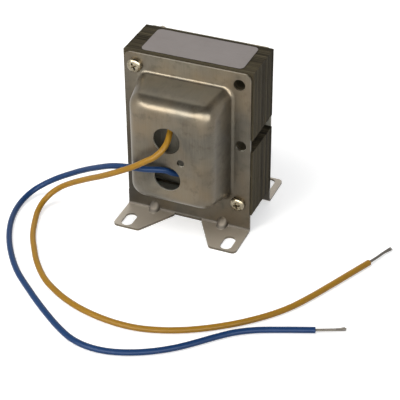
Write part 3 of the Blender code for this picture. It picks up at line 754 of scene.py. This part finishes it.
# %% The drawn dome
def dome_section(offset, root_steps=10, nose_steps=22):
    """The drawn wall as outward shift and height above the flange.

    An arc about a centre outside the wall leads off the flange, and an arc about a centre inside
    it leads on into the flat front. Moving in by the sheet's thickness keeps both centres, so the
    wall has the same thickness all the way.
    """
    lean = math.atan2(dome_draft, dome_height)
    sweep = math.pi / 2 - lean
    root_centre = np.array([root_radius * math.tan(sweep / 2), root_radius])
    nose_centre = np.array([-dome_draft - nose_radius * math.tan(sweep / 2), dome_height - nose_radius])
    up = np.linspace(root_start, sweep, root_steps + 1)
    over = np.linspace(sweep, 0.0, nose_steps + 1)
    root, nose = root_radius + offset, nose_radius - offset
    wall = root_centre - root * np.stack([np.sin(up), np.cos(up)], axis=1)
    front = nose_centre + nose * np.stack([np.sin(over), np.cos(over)], axis=1)
    inset = front[-1:] - np.array([[0.6 * mm, 0.0]])
    return np.concatenate([wall, front, inset])


def dome(offset, skirt):
    """One face of the drawn wall as a closed solid, run back behind the flange by skirt."""
    shift, height = dome_section(offset).T
    share = np.clip(height / dome_height, 0, 1)
    corner = root_corner + share * (nose_corner - root_corner) - offset
    loops = rounded_loop(dome_half_x + shift, dome_half_z + shift, corner, 22)
    y = np.broadcast_to(-(flange_front + height)[:, None], loops.shape[:2])
    rings = np.stack([dome_middle_x + loops[..., 0], y, dome_middle_z + loops[..., 1]], axis=-1)
    first = rings[:1] + np.array([0.0, skirt, 0.0])
    return capped(np.concatenate([first, rings]))


print("stations along the drawn wall:", len(dome_section(0.0)))


# %% The bent strip and its darts
def bent_strip():
    """The section, down the flange, round the bend and out along the foot, run along X."""
    turn = np.radians(np.linspace(0, 90, 15))[:, None]
    bend = np.array([[flange_back + bend_radius + sheet, bend_radius + sheet]])
    arc = np.concatenate([-np.cos(turn), -np.sin(turn)], axis=1)
    under, over = bend + (bend_radius + sheet) * arc, bend + bend_radius * arc
    top, tip = flange_top + spare, foot_tip + spare
    section = np.concatenate([
        [(flange_back, top)], under, [(tip, 0.0), (tip, sheet)], over[::-1], [(flange_front, top)],
    ])
    ends = np.array([-1, 1]) * (foot_half_x + spare)
    rings = [np.insert(section * (-1, 1), 0, x, axis=1) for x in ends]
    return capped(np.stack(rings))


def dart(side, radius, low, start, end):
    """A round-backed wedge across the inside of the bend, run along the bend's bisector."""
    turn = np.radians(np.linspace(-90, 90, 25))
    axis_height = dart_reach / math.sqrt(2) - dart_radius
    across = np.concatenate([radius * np.sin(turn), [radius, -radius]])
    up = np.concatenate([axis_height + radius * np.cos(turn), [low, low]])
    root = math.sqrt(2)
    rings = []
    for along in (-up - start * root, up + end * root):
        y, z = -flange_front - (up + along) / root, sheet + (up - along) / root
        rings.append(np.stack([side * dart_x + across, y, z], axis=1))
    return capped(np.stack(rings))


print("corners of the strip's section:", len(bent_strip()[0]) // 2)

# %% What the press cuts away
flange_wide = foot_half_x + 2 * spare
front_corners = [
    (flange_half_x, flange_top), (-flange_half_x, flange_top), (-flange_half_x, core_base),
    (-flange_wide, core_base), (-flange_wide, -core_base), (flange_wide, -core_base),
    (flange_wide, core_base), (flange_half_x, core_base),
]
front_outline = rounded_corners(front_corners, [flange_corner] * 2 + [0] * 6, 14)
shear_line = flange_front + shear_step
right_foot = [
    (foot_half_x, 0.0), (foot_half_x, -foot_tip), (foot_inner, -foot_tip),
    (foot_root, -flange_front - bend_radius), (foot_root, -shear_line),
]
both_feet = right_foot + [(-x, y) for x, y in reversed(right_foot)]
foot_radii = [0, foot_corner, foot_corner, 0, 0]
plan_outline = rounded_corners(both_feet, foot_radii + foot_radii[::-1], 10)

lead_hole_x, lead_hole_radius = -2.0 * mm, 6.6 * mm
pierced = [
    round_outline(x, core_middle + up, radius, sides)
    for x, up, radius, sides in (
        (lead_hole_x, 7.3 * mm, lead_hole_radius, 96),  # the upper lead hole
        (lead_hole_x, -12.8 * mm, lead_hole_radius, 96),  # the lower one
        (4.8 * mm, -3.0 * mm, 1.8 * mm, 48),  # the small hole beside them
        (26.35 * mm, 0.0, 2.65 * mm, 48),  # the hole in the flange's side
    )
]
for sign_x in (-1, 1):
    for sign_z in (-1, 1):
        x, z = sign_x * bolt_x, core_middle + sign_z * bolt_z
        pierced.append(round_outline(x, z, bolt_hole_radius, 48))
slot_loop = rounded_loop(slot_half_x, slot_half_y, slot_corner, 16)[0]
slots = [slot_loop + (sign * bolt_x, slot_y) for sign in (-1, 1)]
print("holes in one bell:", len(pierced), "and slots:", len(slots))

# %% Press both bells
front_reach = flange_front + dome_height + 2 * spare
front_bell = make_object("front_bell_pressing", *bent_strip())
carve(front_bell, "INTERSECT", [
    prism(front_outline, -foot_tip - 2 * spare, 0.0, 1),
    prism(plan_outline, -2 * spare, flange_top + 2 * spare, 2),
])
wall = sheet / 2
carve(front_bell, "UNION", [
    dome(0.0, wall), *(dart(side, dart_radius, -sheet / 10, wall, wall) for side in (-1, 1)),
])
deep = 1.5 * sheet
carve(front_bell, "DIFFERENCE", [
    dome(sheet, 2 * spare),
    *(dart(side, dart_radius - sheet, -4 * sheet, deep, deep) for side in (-1, 1)),
    together([prism(outline, -front_reach, 0.0, 1) for outline in pierced]),
    together([prism(outline, -2 * spare, 2 * spare, 2) for outline in slots]),
])
ease_edges(front_bell, 0.14 * mm)
shade(front_bell, 5.5)
rear_bell = bpy.data.objects.new("rear_bell_pressing", front_bell.data.copy())
bpy.context.collection.objects.link(rear_bell)
rear_bell.data.transform(Matrix.Scale(-1, 4, (0, 1, 0)))
rear_bell.data.flip_normals()
print("faces of a pressed bell:", len(front_bell.data.polygons))

# %% [markdown]
# ## Drawn steel
#
# The sheet is bare cold-rolled steel with a trace of oil. Rolling leaves fine lines along the
# sheet, handling leaves cloudy patches, and the press stretches the walls and rubs streaks into
# them along the way it moves. So the colour follows soft clouds, the roughness follows the
# rolled lines, and the streaks turn to the depth direction wherever the surface doesn't face
# the front. Old oil dries to a straw tint in patches. The flange is painted darker low down and
# on its left: painted shade, where the light falls off. The tops of the feet are painted paler,
# partly rubbed bright where they lie on benches and partly painted light, and the inner bend
# above them gets painted shade. What faces straight up is painted paler, partly dust and partly
# painted top light. The inside of the bell has a dull grey skin. Each of these is a mask from 0
# to 1, and the colour is mixed through them one after the other.

# %% The bells' masks
bell_steel = Finish("drawn sheet steel")
faces_front = bell_steel.range(abs(bell_steel.facing("Y")), 0.5, 0.9)
rolled = bell_steel.noise(1.0, 4.0, 0.6, bell_steel.stretched((2600.0, 2600.0, 130.0)))
drawn = bell_steel.noise(1.0, 3.0, 0.6, bell_steel.stretched((1500.0, 60.0, 1500.0)))
lines = rolled * faces_front + drawn * (1 - faces_front)
clouds = bell_steel.patches(0.3, 0.7, 55.0, 4.0, 0.55, distortion=0.4)
stains = bell_steel.patches(0.53, 0.72, 210.0, 5.0, 0.6)
straw = bell_steel.patches(0.44, 0.66, 32.0, 3.0, 0.6)

across, reach, height = (bell_steel.part(bell_steel.place, axis) for axis in "XYZ")
faces_up = bell_steel.facing("Z")
# painted shade: the flange is darkened low down and on its left, where the light falls off
flat_rim = bell_steel.below(reach * reach, (16 * mm) ** 2, (20 * mm) ** 2)
left_rim = bell_steel.below(across, -28 * mm, -22 * mm)
low_down = bell_steel.below(height + 8 * mm * clouds, 0.0, 80 * mm)
painted_shade_low_left = flat_rim * (low_down + 0.6 * left_rim)
# the tops of the feet are painted paler: partly rubbed wear, partly painted light
rubbed_and_lit = abs(faces_up) * bell_steel.below(height + 2 * mm * clouds, 2 * mm, 6 * mm)
# surfaces facing straight up are painted paler: partly dust, partly painted top light
dust_and_top_light = bell_steel.range(faces_up, 0.92, 0.98) * 0.22
# painted shade in the inner bend above the feet
above_feet = bell_steel.range(height, 1.0 * mm, 1.3 * mm)
painted_bend_shade = above_feet * bell_steel.below(height, 2.0 * mm, 2.6 * mm)
print("the bells' masks take", len(bell_steel.tree.nodes), "nodes")

# %% Which side of the sheet is the inside
core_centre = (0.0, 0.0, core_middle)
from_centre = bell_steel.put(
    "ShaderNodeVectorMath", {0: bell_steel.place, 1: core_centre}, operation="SUBTRACT"
)
outward = bell_steel.put(
    "ShaderNodeVectorMath",
    {0: bell_steel.normal, 1: from_centre},
    output="Value",
    operation="DOT_PRODUCT",
)
inside = bell_steel.below(outward, -4 * mm, 0.0) * bell_steel.range(height, 8 * mm, 10 * mm)
print("with the inside they take", len(bell_steel.tree.nodes))

# %% The bells' finish
plain = bell_steel.mix(clouds, (0.08, 0.073, 0.058), (0.163, 0.145, 0.109))
tinted = bell_steel.mix(straw * 0.7, plain, (0.185, 0.137, 0.08))
streaks = bell_steel.range(lines, 0.35, 0.75) * 0.35
streaked = bell_steel.mix(streaks, tinted, (0.19, 0.165, 0.128))
stained = bell_steel.mix(stains * 0.6, streaked, (0.065, 0.053, 0.036))
# painted shade on the flange, low down and on its left
with_painted_shade_low_left = bell_steel.mix(painted_shade_low_left * 0.7, stained, (0.04, 0.034, 0.025))
# feet tops painted paler: partly wear, partly painted light
worn = bell_steel.mix(rubbed_and_lit * 0.8, with_painted_shade_low_left, (0.52, 0.46, 0.39))
# up-facing surfaces painted paler: dust and painted top light
dusty_and_top_lit = bell_steel.mix(dust_and_top_light, worn, (0.44, 0.39, 0.29))
# painted shade in the inner bend above the feet
with_painted_bend_shade = bell_steel.mix(painted_bend_shade * 0.7, dusty_and_top_lit, (0.05, 0.042, 0.03))
bell_steel.feed("Base Color", bell_steel.mix(inside, with_painted_bend_shade, (0.42, 0.4, 0.33)))
bare_metal = (0.62 - 0.25 * rubbed_and_lit) * (1 - inside)
bell_steel.feed("Metallic", bare_metal * (1 - dust_and_top_light - 0.6 * painted_bend_shade))
roughness = 0.26 + 0.08 * lines + 0.07 * clouds + 0.12 * rubbed_and_lit + 0.3 * painted_bend_shade
bell_steel.feed("Roughness", roughness)
ripple = bell_steel.bump(bell_steel.noise(75.0, 1.5), 0.45 * mm, 0.35)
bell_steel.feed("Normal", bell_steel.bump(lines, 0.02 * mm, 0.35, ripple))
fit(front_bell, bell_steel, "bell_steel", "front_end_bell")
fit(rear_bell, bell_steel, "bell_steel", "rear_end_bell")

# %% [markdown]
# ## The core's sheets
#
# The core is fifty thin steel sheets. A layer is an E, whose three legs lie along X, and an I
# across their ends. Packets of ten layers have their backs left and right in turn, so each joint
# is bridged by the next packet. A stamped sheet is a flat outline with holes, so the outline is
# filled with triangles once, and every layer repeats it at its own depth. No stack is perfect:
# each sheet lies a few hundredths of a millimetre off, and that gives a core its combed sides.

# %% The outlines of an E and an I
layers_in_core, layers_in_packet = 50, 10
pitch = 2 * core_face / layers_in_core
plate = 0.94 * pitch
play = 0.06 * mm
window_x, leg_inner, leg_outer = 19.05 * mm, 12.7 * mm, 25.4 * mm
edge_x, edge_z = core_half_x - play, (core_top - core_base) / 2 - play

notch_radius, notch_depth = 3.2 * mm, 8.5 * mm
notch_turn = np.radians(np.linspace(90, 270, 19))
notch_x = core_half_x - notch_depth + notch_radius + notch_radius * np.cos(notch_turn)
notch = np.stack([notch_x, notch_radius * np.sin(notch_turn)], axis=1)
side_line = np.concatenate([
    [(edge_x, edge_z), (edge_x, notch_radius)], notch, [(edge_x, -notch_radius), (edge_x, -edge_z)],
])
e_ends, i_start = window_x - play, window_x + 2 * play
e_outline = np.concatenate([
    side_line,
    [(-e_ends, -edge_z), (-e_ends, -leg_outer), (window_x, -leg_outer), (window_x, -leg_inner)],
    [(-e_ends, -leg_inner), (-e_ends, leg_inner), (window_x, leg_inner), (window_x, leg_outer)],
    [(-e_ends, leg_outer), (-e_ends, edge_z)],
])
i_outline = np.concatenate([side_line, [(i_start, -edge_z), (i_start, edge_z)]])
bolt_rings = [round_outline(bolt_x, sign * bolt_z, 2.8 * mm, 32) for sign in (-1, 1)]
print("an E has", len(e_outline), "corners and an I has", len(i_outline))


# %% Filling and stacking
def sheet_faces(loops):
    """Faces of a flat sheet: the loops' filled area on both sides, and a wall along each loop."""
    fill = np.array(tessellate_polygon([np.insert(loop, 2, 0.0, axis=1).tolist() for loop in loops]))
    total = sum(len(loop) for loop in loops)
    faces, start = [*fill.tolist(), *(total + fill[:, ::-1]).tolist()], 0
    for loop in loops:
        here = start + np.arange(len(loop))
        ahead = np.roll(here, -1)
        faces += np.stack([here, ahead, total + ahead, total + here], axis=1).tolist()
        start += len(loop)
    return faces


def stacked(outline, back_sides):
    """The sheet at every layer: its outline at the layer's two faces, moved a little at random.

    back_sides holds 1 for each layer whose outline keeps its side and -1 for one that is turned.
    """
    loops = [outline, *bolt_rings]
    flat, faces = np.concatenate(loops), sheet_faces(loops)
    shapes = []
    for layer, side in enumerate(back_sides):
        low = -core_face + (layer + 0.5) * pitch - plate / 2
        moved = flat * (side, 1) + rng.uniform(-play, play, 2) + (0, core_middle)
        both = [np.insert(moved, 1, y, axis=1) for y in (low, low + plate)]
        shapes.append((np.concatenate(both), faces))
    return together(shapes)


packet_sides = np.where(np.arange(layers_in_core) // layers_in_packet % 2 == 0, 1, -1)
e_sheets = make_object("core_e_sheets", *stacked(e_outline, -packet_sides))
i_sheets = make_object("core_i_sheets", *stacked(i_outline, packet_sides))
print("sheets in the core:", layers_in_core, "in packets of", layers_in_packet)

# %% [markdown]
# ## Varnished sheet steel
#
# Core sheets carry a dark oxide skin, and the finished core is dipped in thin varnish. Each
# sheet came from its own place in the coil of steel, so each is a little lighter or darker than
# its neighbours. A white-noise value that depends only on the layer's number gives that. Soft
# streaks run along the sheets where the varnish ran, with a few rust-brown spots.

# %% The core's finish
core_steel = Finish("varnished core steel", metallic=0.05, coat_roughness=0.4)
core_steel.feed("Specular IOR Level", 0.05)
layer_number = (core_steel.part(core_steel.place, "Y") * (1 / pitch) + 100.0).floor()
layer_shade = core_steel.put("ShaderNodeTexWhiteNoise", {"W": layer_number}, noise_dimensions="1D")
runs = core_steel.noise(1.0, 4.0, 0.6, core_steel.stretched((45.0, 1100.0, 45.0)))
bands = core_steel.noise(1.0, 2.0, 0.5, core_steel.stretched((14.0, 330.0, 14.0)))
drips = core_steel.patches(0.35, 0.75, 90.0, 4.0, 0.6)
rust = core_steel.patches(0.6, 0.75, 420.0, 5.0, 0.65)
light = core_steel.range(layer_shade * 0.35 + runs * 0.4 + bands * 0.45, 0.4, 0.82)
dark_skin = core_steel.mix(light, (0.014, 0.0115, 0.0065), (0.09, 0.075, 0.045))
varnished = core_steel.mix(drips * 0.4, dark_skin, (0.03, 0.022, 0.014))
core_steel.feed("Base Color", core_steel.mix(rust * 0.4, varnished, (0.06, 0.03, 0.015)))
core_steel.feed("Roughness", 0.55 + 0.25 * runs)
core_steel.feed("Coat Weight", 0.03 * drips)
core_steel.feed("Normal", core_steel.bump(runs, 0.04 * mm, 0.5))
fit(e_sheets, core_steel, "core_steel", "e_laminations")
fit(i_sheets, core_steel, "core_steel", *(f"i_laminations_{k}" for k in range(1, 6)))

# %% [markdown]
# ## Tie screws, lock washers and nuts
#
# Two long screws clamp the bells and the core. A screw is a turned shape, so it is a profile of
# radii carried round its axis. Its thread is a cut that goes one pitch along for each turn round,
# so the radius there is lowered by a wave of (distance / pitch - turns). The cross recess is cut
# out afterwards with a tapered cross, and the nuts' sharp rims are eased so they catch light.

# %% The screw
screw_radius, thread_pitch, thread_depth, thread_length = 1.75 * mm, 0.8 * mm, 0.22 * mm, 8.5 * mm
head_radius, head_height, seat = 3.55 * mm, 2.4 * mm, 0.1 * mm
washer_height, nut_height, tip_past_nut = 0.9 * mm, 2.9 * mm, 1.6 * mm
screw_tip = 2 * flange_front + washer_height + 2 * seat + nut_height + tip_past_nut


def round_an_axis(x, z, radius, y, turn):
    """A closed skin round an axis along Y: x + radius * cos, y and z + radius * sin."""
    y = np.broadcast_to(y[:, None], radius.shape)
    return capped(np.stack([x + radius * np.cos(turn), y, z + radius * np.sin(turn)], axis=-1))


def screw_skin(x, z, sides=56):
    """Radius by distance along: a chamfered tip, the thread, the shank and the domed head."""
    tip = np.array([(0.2, 0.0), (0.72, 0.0), (0.8, 0.12), (0.99, 0.5)])
    tip_r, tip_y = tip[:, 0] * screw_radius, screw_tip - tip[:, 1] * screw_radius
    shank_y = np.linspace(screw_tip - 0.55 * screw_radius, screw_tip - 9 * mm, 110)
    neck_y = np.array([10.0, 1.0, 0.0]) * mm - seat
    rounding = np.radians(np.linspace(0, 84, 13))
    head_r = np.concatenate([[0.98, 1.0], np.cos(rounding) ** 0.6]) * head_radius
    head_y = -seat - np.concatenate([[0.0, 0.03], 0.45 + 0.55 * np.sin(rounding)]) * head_height
    radius = np.concatenate([tip_r, np.full(len(shank_y) + 3, screw_radius), head_r])[:, None]
    along = np.concatenate([tip_y, shank_y, neck_y, head_y])
    turn = full_turn(sides)
    phase = (along[:, None] / thread_pitch - turn[None] / (2 * np.pi)) % 1
    wave = np.clip(1.6 * np.abs(2 * phase - 1) - 0.3, 0, 1)
    threaded = np.clip((along - (screw_tip - thread_length)) / mm, 0, 1)[:, None]
    skin = radius - thread_depth * wave * threaded * (radius > 0.8 * screw_radius)
    return round_an_axis(x, z, skin, along - flange_front, turn)


print("the screws reach", round(screw_tip / mm, 1), "mm back from the front flange's face")


# %% The cross recess
def cross_recess(x, z, turned_by):
    """A tapered cross: long, narrow wings that meet in a square, smaller at the bottom."""
    rings = []
    top, wing_length = -flange_front - seat - head_height, 1.95 * mm
    for y, share, half in ((top - 0.5 * mm, 1.12, 0.54 * mm), (top + 1.4 * mm, 0.42, 0.36 * mm)):
        long = share * wing_length
        wing = np.array([(long, -half), (long, half), (half, half)])
        quarter = turned_by + np.arange(4)[:, None] * np.pi / 2
        u = wing[:, 0] * np.cos(quarter) - wing[:, 1] * np.sin(quarter)
        v = wing[:, 0] * np.sin(quarter) + wing[:, 1] * np.cos(quarter)
        rings.append(np.stack([x + u.ravel(), np.full(12, y), z + v.ravel()], axis=1))
    return capped(np.stack(rings))


print("faces of the tapered cross:", len(cross_recess(0.0, 0.0, 0.0)[1]))


# %% The split lock washer
def split_ring(x, z, slit=math.radians(16)):
    """A rounded square section carried round the hole from one side of the slit to the other.

    Each section's turn grows with its depth, which slants the slit, and the ends lift a little.
    """
    inner, outer, low, lift, edge = 1.9 * mm, 3.4 * mm, flange_front + seat, 0.03 * mm, 0.12 * mm
    section = rounded_loop((outer - inner) / 2, washer_height / 2 - lift, edge, 3)[0]
    section = section + ((inner + outer) / 2, low + washer_height / 2)
    radius, y = section.T
    turn = np.linspace(slit / 2, 2 * np.pi - slit / 2, 73)[:, None]
    slanted = turn + 0.25 * (y - low) / washer_height
    lifted = y + lift * (turn / np.pi - 1)
    rings = (x + radius * np.cos(slanted), lifted, z + radius * np.sin(slanted))
    return capped(np.stack(rings, axis=-1))


print("points of a split washer:", len(split_ring(0.0, 0.0)[0]))


# %% The nut
def turned_shape(profile, x, z, sides=64):
    """Pairs of (radius, y) carried round an axis along Y."""
    radius, y = np.array(profile).T
    return round_an_axis(x, z, np.repeat(radius[:, None], sides, axis=1), y, full_turn(sides))


def hex_nut(name, x, z):
    """A six-sided bar with chamfered ends, bored and countersunk."""
    low = flange_front + 2 * seat + washer_height
    high = low + nut_height
    half_flat, face, bore, mouth = 3.97 * mm, 3.85 * mm, 1.8 * mm, 2.1 * mm
    slant = math.radians(30)
    corner = half_flat / math.cos(slant)
    nut = make_object(name, *prism(round_outline(x, z, corner, 6), low, high, 1))
    past, slope = corner + 0.1 * mm, (corner - face) * math.tan(slant)
    barrel = [(face, low), (past, low + slope), (past, high - slope), (face, high)]
    carve(nut, "INTERSECT", [turned_shape(barrel, x, z)])
    sink, rise = mouth - bore, 0.2 * mm
    flare = mouth + sink
    reamer = [(flare, low - rise), (mouth, low), (bore, low + sink)]
    reamer += [(bore, high - sink), (mouth, high), (flare, high + rise)]
    carve(nut, "DIFFERENCE", [turned_shape(reamer, x, z)])
    ease_edges(nut, 0.07 * mm)
    return nut


print("a nut is", round(nut_height / mm, 1), "mm high")

# %% [markdown]
# ## Zinc plate
#
# Bright zinc looks like silver with a faint warm cast. Tumbling in the plating barrel leaves tiny
# dents and scuffs, so the metal never mirrors cleanly, and the hollows hold a grey film.

# %% The zinc finish and the fasteners in place
zinc = Finish("zinc plate", metallic=1.0)
grey_film = zinc.patches(0.4, 0.72, 700.0, 4.0, 0.6)
dents = zinc.noise(1900.0, 3.0, 0.6)
zinc.feed("Base Color", zinc.mix(grey_film, (0.32, 0.28, 0.205), (0.115, 0.097, 0.065)))
zinc.feed("Roughness", 0.16 + 0.16 * grey_film + 0.1 * dents)
zinc.feed("Normal", zinc.bump(dents, 0.03 * mm, 0.6))

for name, sign, turned_by in (("upper", 1, 0.5), ("lower", -1, 0.2)):
    x, z = -sign * bolt_x, core_middle + sign * bolt_z
    screw = make_object(f"{name}_screw", *screw_skin(x, z))
    carve(screw, "DIFFERENCE", [cross_recess(x, z, turned_by)])
    shade(screw, 40.0)
    fit(screw, zinc, "zinc", f"tie_screw_{name}")
    washer = make_object(f"{name}_split_washer", *split_ring(x, z))
    shade(washer, 40.0)
    fit(washer, zinc, "zinc", f"lock_washer_{name}")
    nut = hex_nut(f"{name}_nut", x, z)
    shade(nut, 30.0)
    fit(nut, zinc, "zinc", f"hex_nut_{name}")

# %% [markdown]
# ## The label
#
# A plain bare label lies on top of the core. It is a rounded rectangle with a softly rounded
# upper rim. Its film has a fine grain and faint handling marks, and it is nearly matt, because a
# glossy one would mirror the cards as a white patch when it is seen from behind.

# %% Lay the label
label_corner = 2.4 * mm
label_low, label_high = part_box("top_label")
label_middle = (label_low + label_high) / 2
label_half = (label_high - label_low) / 2
rim = np.array([(0.0, -1.0), (0.0, 0.1), (0.03, 0.6), (0.1, 0.9), (0.2, 1.0)]) * (mm, label_half.z)
drawn_in = rim[:, 0]
loops = rounded_loop(label_half.x - drawn_in, label_half.y - drawn_in, label_corner - drawn_in, 12)
levels = np.repeat(label_middle.z + rim[:, 1:2], loops.shape[1], axis=1)
rings = np.stack([label_middle.x + loops[..., 0], label_middle.y + loops[..., 1], levels], axis=-1)
label = make_object("bare_label", *capped(rings))
shade(label, 60.0)
print("the label is", round(2 * label_half.x / mm, 1), "by", round(2 * label_half.y / mm, 1), "mm")

# %% The label's finish
satin = Finish("satin label film", coat_weight=0.03, coat_roughness=0.5)
satin.feed("Specular IOR Level", 0.05)
grain = satin.noise(1.0, 3.0, 0.6, satin.stretched((300.0, 2600.0, 300.0)))
smudge = satin.patches(0.35, 0.75, 110.0, 4.0, 0.6)
pale = satin.mix(grain, (0.228, 0.207, 0.199), (0.268, 0.245, 0.236))
satin.feed("Base Color", satin.mix(smudge * 0.5, pale, (0.215, 0.192, 0.183)))
satin.feed("Roughness", 0.55 + 0.15 * grain)
satin.feed("Normal", satin.bump(grain, 0.01 * mm, 0.4))
fit(label, satin, "label_foil", "top_label")

# %% [markdown]
# ## The coil
#
# The coil goes round the middle leg of the core, layer on layer. Every layer is the same loop at
# its own distance from the leg: a rounded rectangle that is rounder the further out it lies. So a
# layer is a closed section of (place along X, distance from the leg), carried round that loop.
# Windings are rows of wire side by side, so their sections are scalloped, and the tape on the
# outside is lapped, so its section is stepped.


# %% A layer of the coil
def coil_layer(name, section):
    """For each point of the section, the loop at its distance; the loops close round the section."""
    x, distance = section.T
    loops = rounded_loop(core_face + distance, leg_inner + distance, 0.75 * distance, 9)
    level = np.repeat(x[:, None], loops.shape[1], axis=1)
    rings = np.stack([level, loops[..., 0], core_middle + loops[..., 1]], axis=-1)
    return make_object(name, *looped(rings))


def box_of_layer(node):
    """Half the layer's length along X and its outer distance from the leg, from the frame."""
    low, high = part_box(node)
    return (high.x - low.x) / 2, high.z - core_middle - leg_inner


def winding_section(half, inner, outer, turns, steps=6):
    """A row of round wires: the outer side is a half circle for each turn, as wide as a turn."""
    radius = half / turns
    at = np.linspace(0, np.pi, steps + 1)[:-1]
    middles = -half + radius * (2 * np.arange(turns)[:, None] + 1)
    x = (middles - radius * np.cos(at)).ravel()
    y = np.tile(outer - radius + radius * np.sin(at), turns)
    wires = np.stack([x, y], axis=1)
    return np.concatenate([[(-half, inner)], wires, [(half, outer - radius), (half, inner)]])


def lapped_section(half, inner, outer, laps, step):
    """Tape laid in laps: along each lap the outer side rises by step, and then it drops back."""
    edges = np.linspace(-half, half, laps + 1)
    begin, rise, end = edges[:-1] + 0.02 * mm, edges[:-1] + 1.5 * mm, edges[1:] - 0.02 * mm
    x = np.stack([begin, rise, end], axis=1).ravel()
    y = np.tile([outer - step, outer - 0.55 * step, outer], laps)
    outside = np.stack([x, y], axis=1)
    return np.concatenate([[(-half, inner)], outside, [(half, inner)]])


print("the coil reaches", round(box_of_layer("coil_wrap")[1] / mm, 1), "mm out from the leg")

# %% The finishes inside
enamel = {}
for name, colour, dull in (
    ("inner", (0.3, 0.1, 0.035), (0.16, 0.06, 0.03)),
    ("outer", (0.46, 0.19, 0.07), (0.25, 0.11, 0.05)),
):
    made = Finish(f"{name} enamelled wire", metallic=0.75, coat_weight=0.6, coat_roughness=0.15)
    clouds = made.patches(0.35, 0.7, 260.0, 4.0, 0.6)
    made.feed("Base Color", made.mix(clouds, colour, dull))
    made.feed("Roughness", 0.25 + 0.2 * clouds)
    made.feed("Normal", made.bump(made.noise(1500.0, 3.0), 0.02 * mm, 0.5))
    enamel[name] = made

tape = Finish("cloth tape", coat_weight=0.1)
threads = {"Vector": tape.place, "Scale": 700.0}
weft, warp = (
    tape.put("ShaderNodeTexWave", threads, output=1, bands_direction=axis) for axis in "XZ"
)
weave = weft * 0.5 + warp * 0.5
stain = tape.patches(0.35, 0.75, 140.0, 4.0, 0.6)
tape.feed("Base Color", tape.mix(stain * 0.7 + weave * 0.2, (0.13, 0.12, 0.088), (0.06, 0.05, 0.034)))
tape.feed("Roughness", 0.5 + 0.2 * weave)
tape.feed("Normal", tape.bump(weave, 0.05 * mm, 0.5))
print("finishes inside:", [*enamel, "tape"])

# %% Wind the coil
over_former, over_film = 1.5 * mm, box_of_layer("winding_barrier")[1] + seat
for which, layer, inner, turns in (
    ("primary", "inner", over_former, 52), ("secondary", "outer", over_film, 26),
):
    half, outer = box_of_layer(f"{which}_winding")
    winding = coil_layer(f"{which}_turns", winding_section(half, inner, outer, turns))
    shade(winding, 50.0)
    fit(winding, enamel[layer], f"{which}_wire", f"{which}_winding")

tape_build, lap_step = 0.5 * mm, 0.16 * mm
half, outer = box_of_layer("coil_wrap")
wrap = coil_layer("lapped_tape", lapped_section(half, outer - tape_build, outer, 4, lap_step))
shade(wrap, 25.0)
fit(wrap, tape, "coil_tape", "coil_wrap")


# %% Splices under tape
def taped_joint(name, node, axis):
    """A spindle whose radius steps up and down with the tape wound round it in a screw line."""
    low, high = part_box(node)
    middle, half = (low + high) / 2, (high - low) / 2
    length, radius, tape_width = half[axis], half.y, 1.8 * mm
    along, turn = np.linspace(-1, 1, 61)[:, None], full_turn(28)
    taper = np.clip((1 - np.abs(along)) / 0.2, 0, 1) ** 0.5
    lap = (along * length / tape_width + turn / (2 * np.pi)) % 1
    skin = radius * (0.62 + 0.3 * taper) + 0.08 * radius * lap
    points = np.zeros((*skin.shape, 3))
    points[..., axis] = middle[axis] + along * length
    points[..., 1] = middle.y + skin * np.cos(turn)
    points[..., 2 - axis] = middle[2 - axis] + skin * np.sin(turn)
    joint = make_object(name, *capped(points))
    shade(joint, 30.0)
    return joint


for node, axis in (
    ("yellow_lead_splice", 2), ("blue_lead_splice", 0),
    ("primary_start_splice", 2), ("primary_finish_splice", 2),
):
    fit(taped_joint(node.replace("splice", "taped_joint"), node, axis), tape, "splice_tape", node)

# %% [markdown]
# ## The pieces that keep the frame's own shape
#
# The former, the film between the windings and the fibre strips are plain shapes that hardly
# show, so their solids from the frame stay and only get real finishes: milky nylon, amber film
# and pressed fibre with its flecks.

# %% Nylon, film and fibre
nylon = Finish("moulded nylon", coat_weight=0.1)
haze = nylon.noise(300.0, 3.0)
nylon.feed("Base Color", nylon.mix(haze, (0.6, 0.57, 0.47), (0.48, 0.45, 0.36)))
nylon.feed("Roughness", 0.45 + 0.15 * haze)
nylon.feed("Normal", nylon.bump(nylon.noise(2200.0, 2.0), 0.02 * mm, 0.4))

film = Finish("amber film", coat_weight=0.5, coat_roughness=0.2)
tint = film.noise(180.0, 3.0)
film.feed("Base Color", film.mix(tint, (0.56, 0.45, 0.17), (0.42, 0.31, 0.1)))
film.feed("Roughness", 0.25 + 0.15 * tint)
film.feed("Normal", film.bump(film.noise(400.0, 3.0), 0.05 * mm, 0.4))

fibre = Finish("pressed fibre", coat_weight=0.05)
flecks = fibre.patches(0.4, 0.7, 1.0, 5.0, 0.7, fibre.stretched((300.0, 1800.0, 1800.0)))
fibre.feed("Base Color", fibre.mix(flecks, (0.3, 0.2, 0.12), (0.18, 0.11, 0.06)))
fibre.feed("Roughness", 0.7 + 0.15 * flecks)
fibre.feed("Normal", fibre.bump(flecks, 0.04 * mm, 0.6))

for node, finish in (
    ("coil_former", nylon), ("winding_barrier", film),
    ("coil_wedge_upper", fibre), ("coil_wedge_lower", fibre),
):
    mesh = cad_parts[node].data
    mesh.materials.clear()
    mesh.materials.append(finish.material)
    print(node, "now wears", finish.material.name)
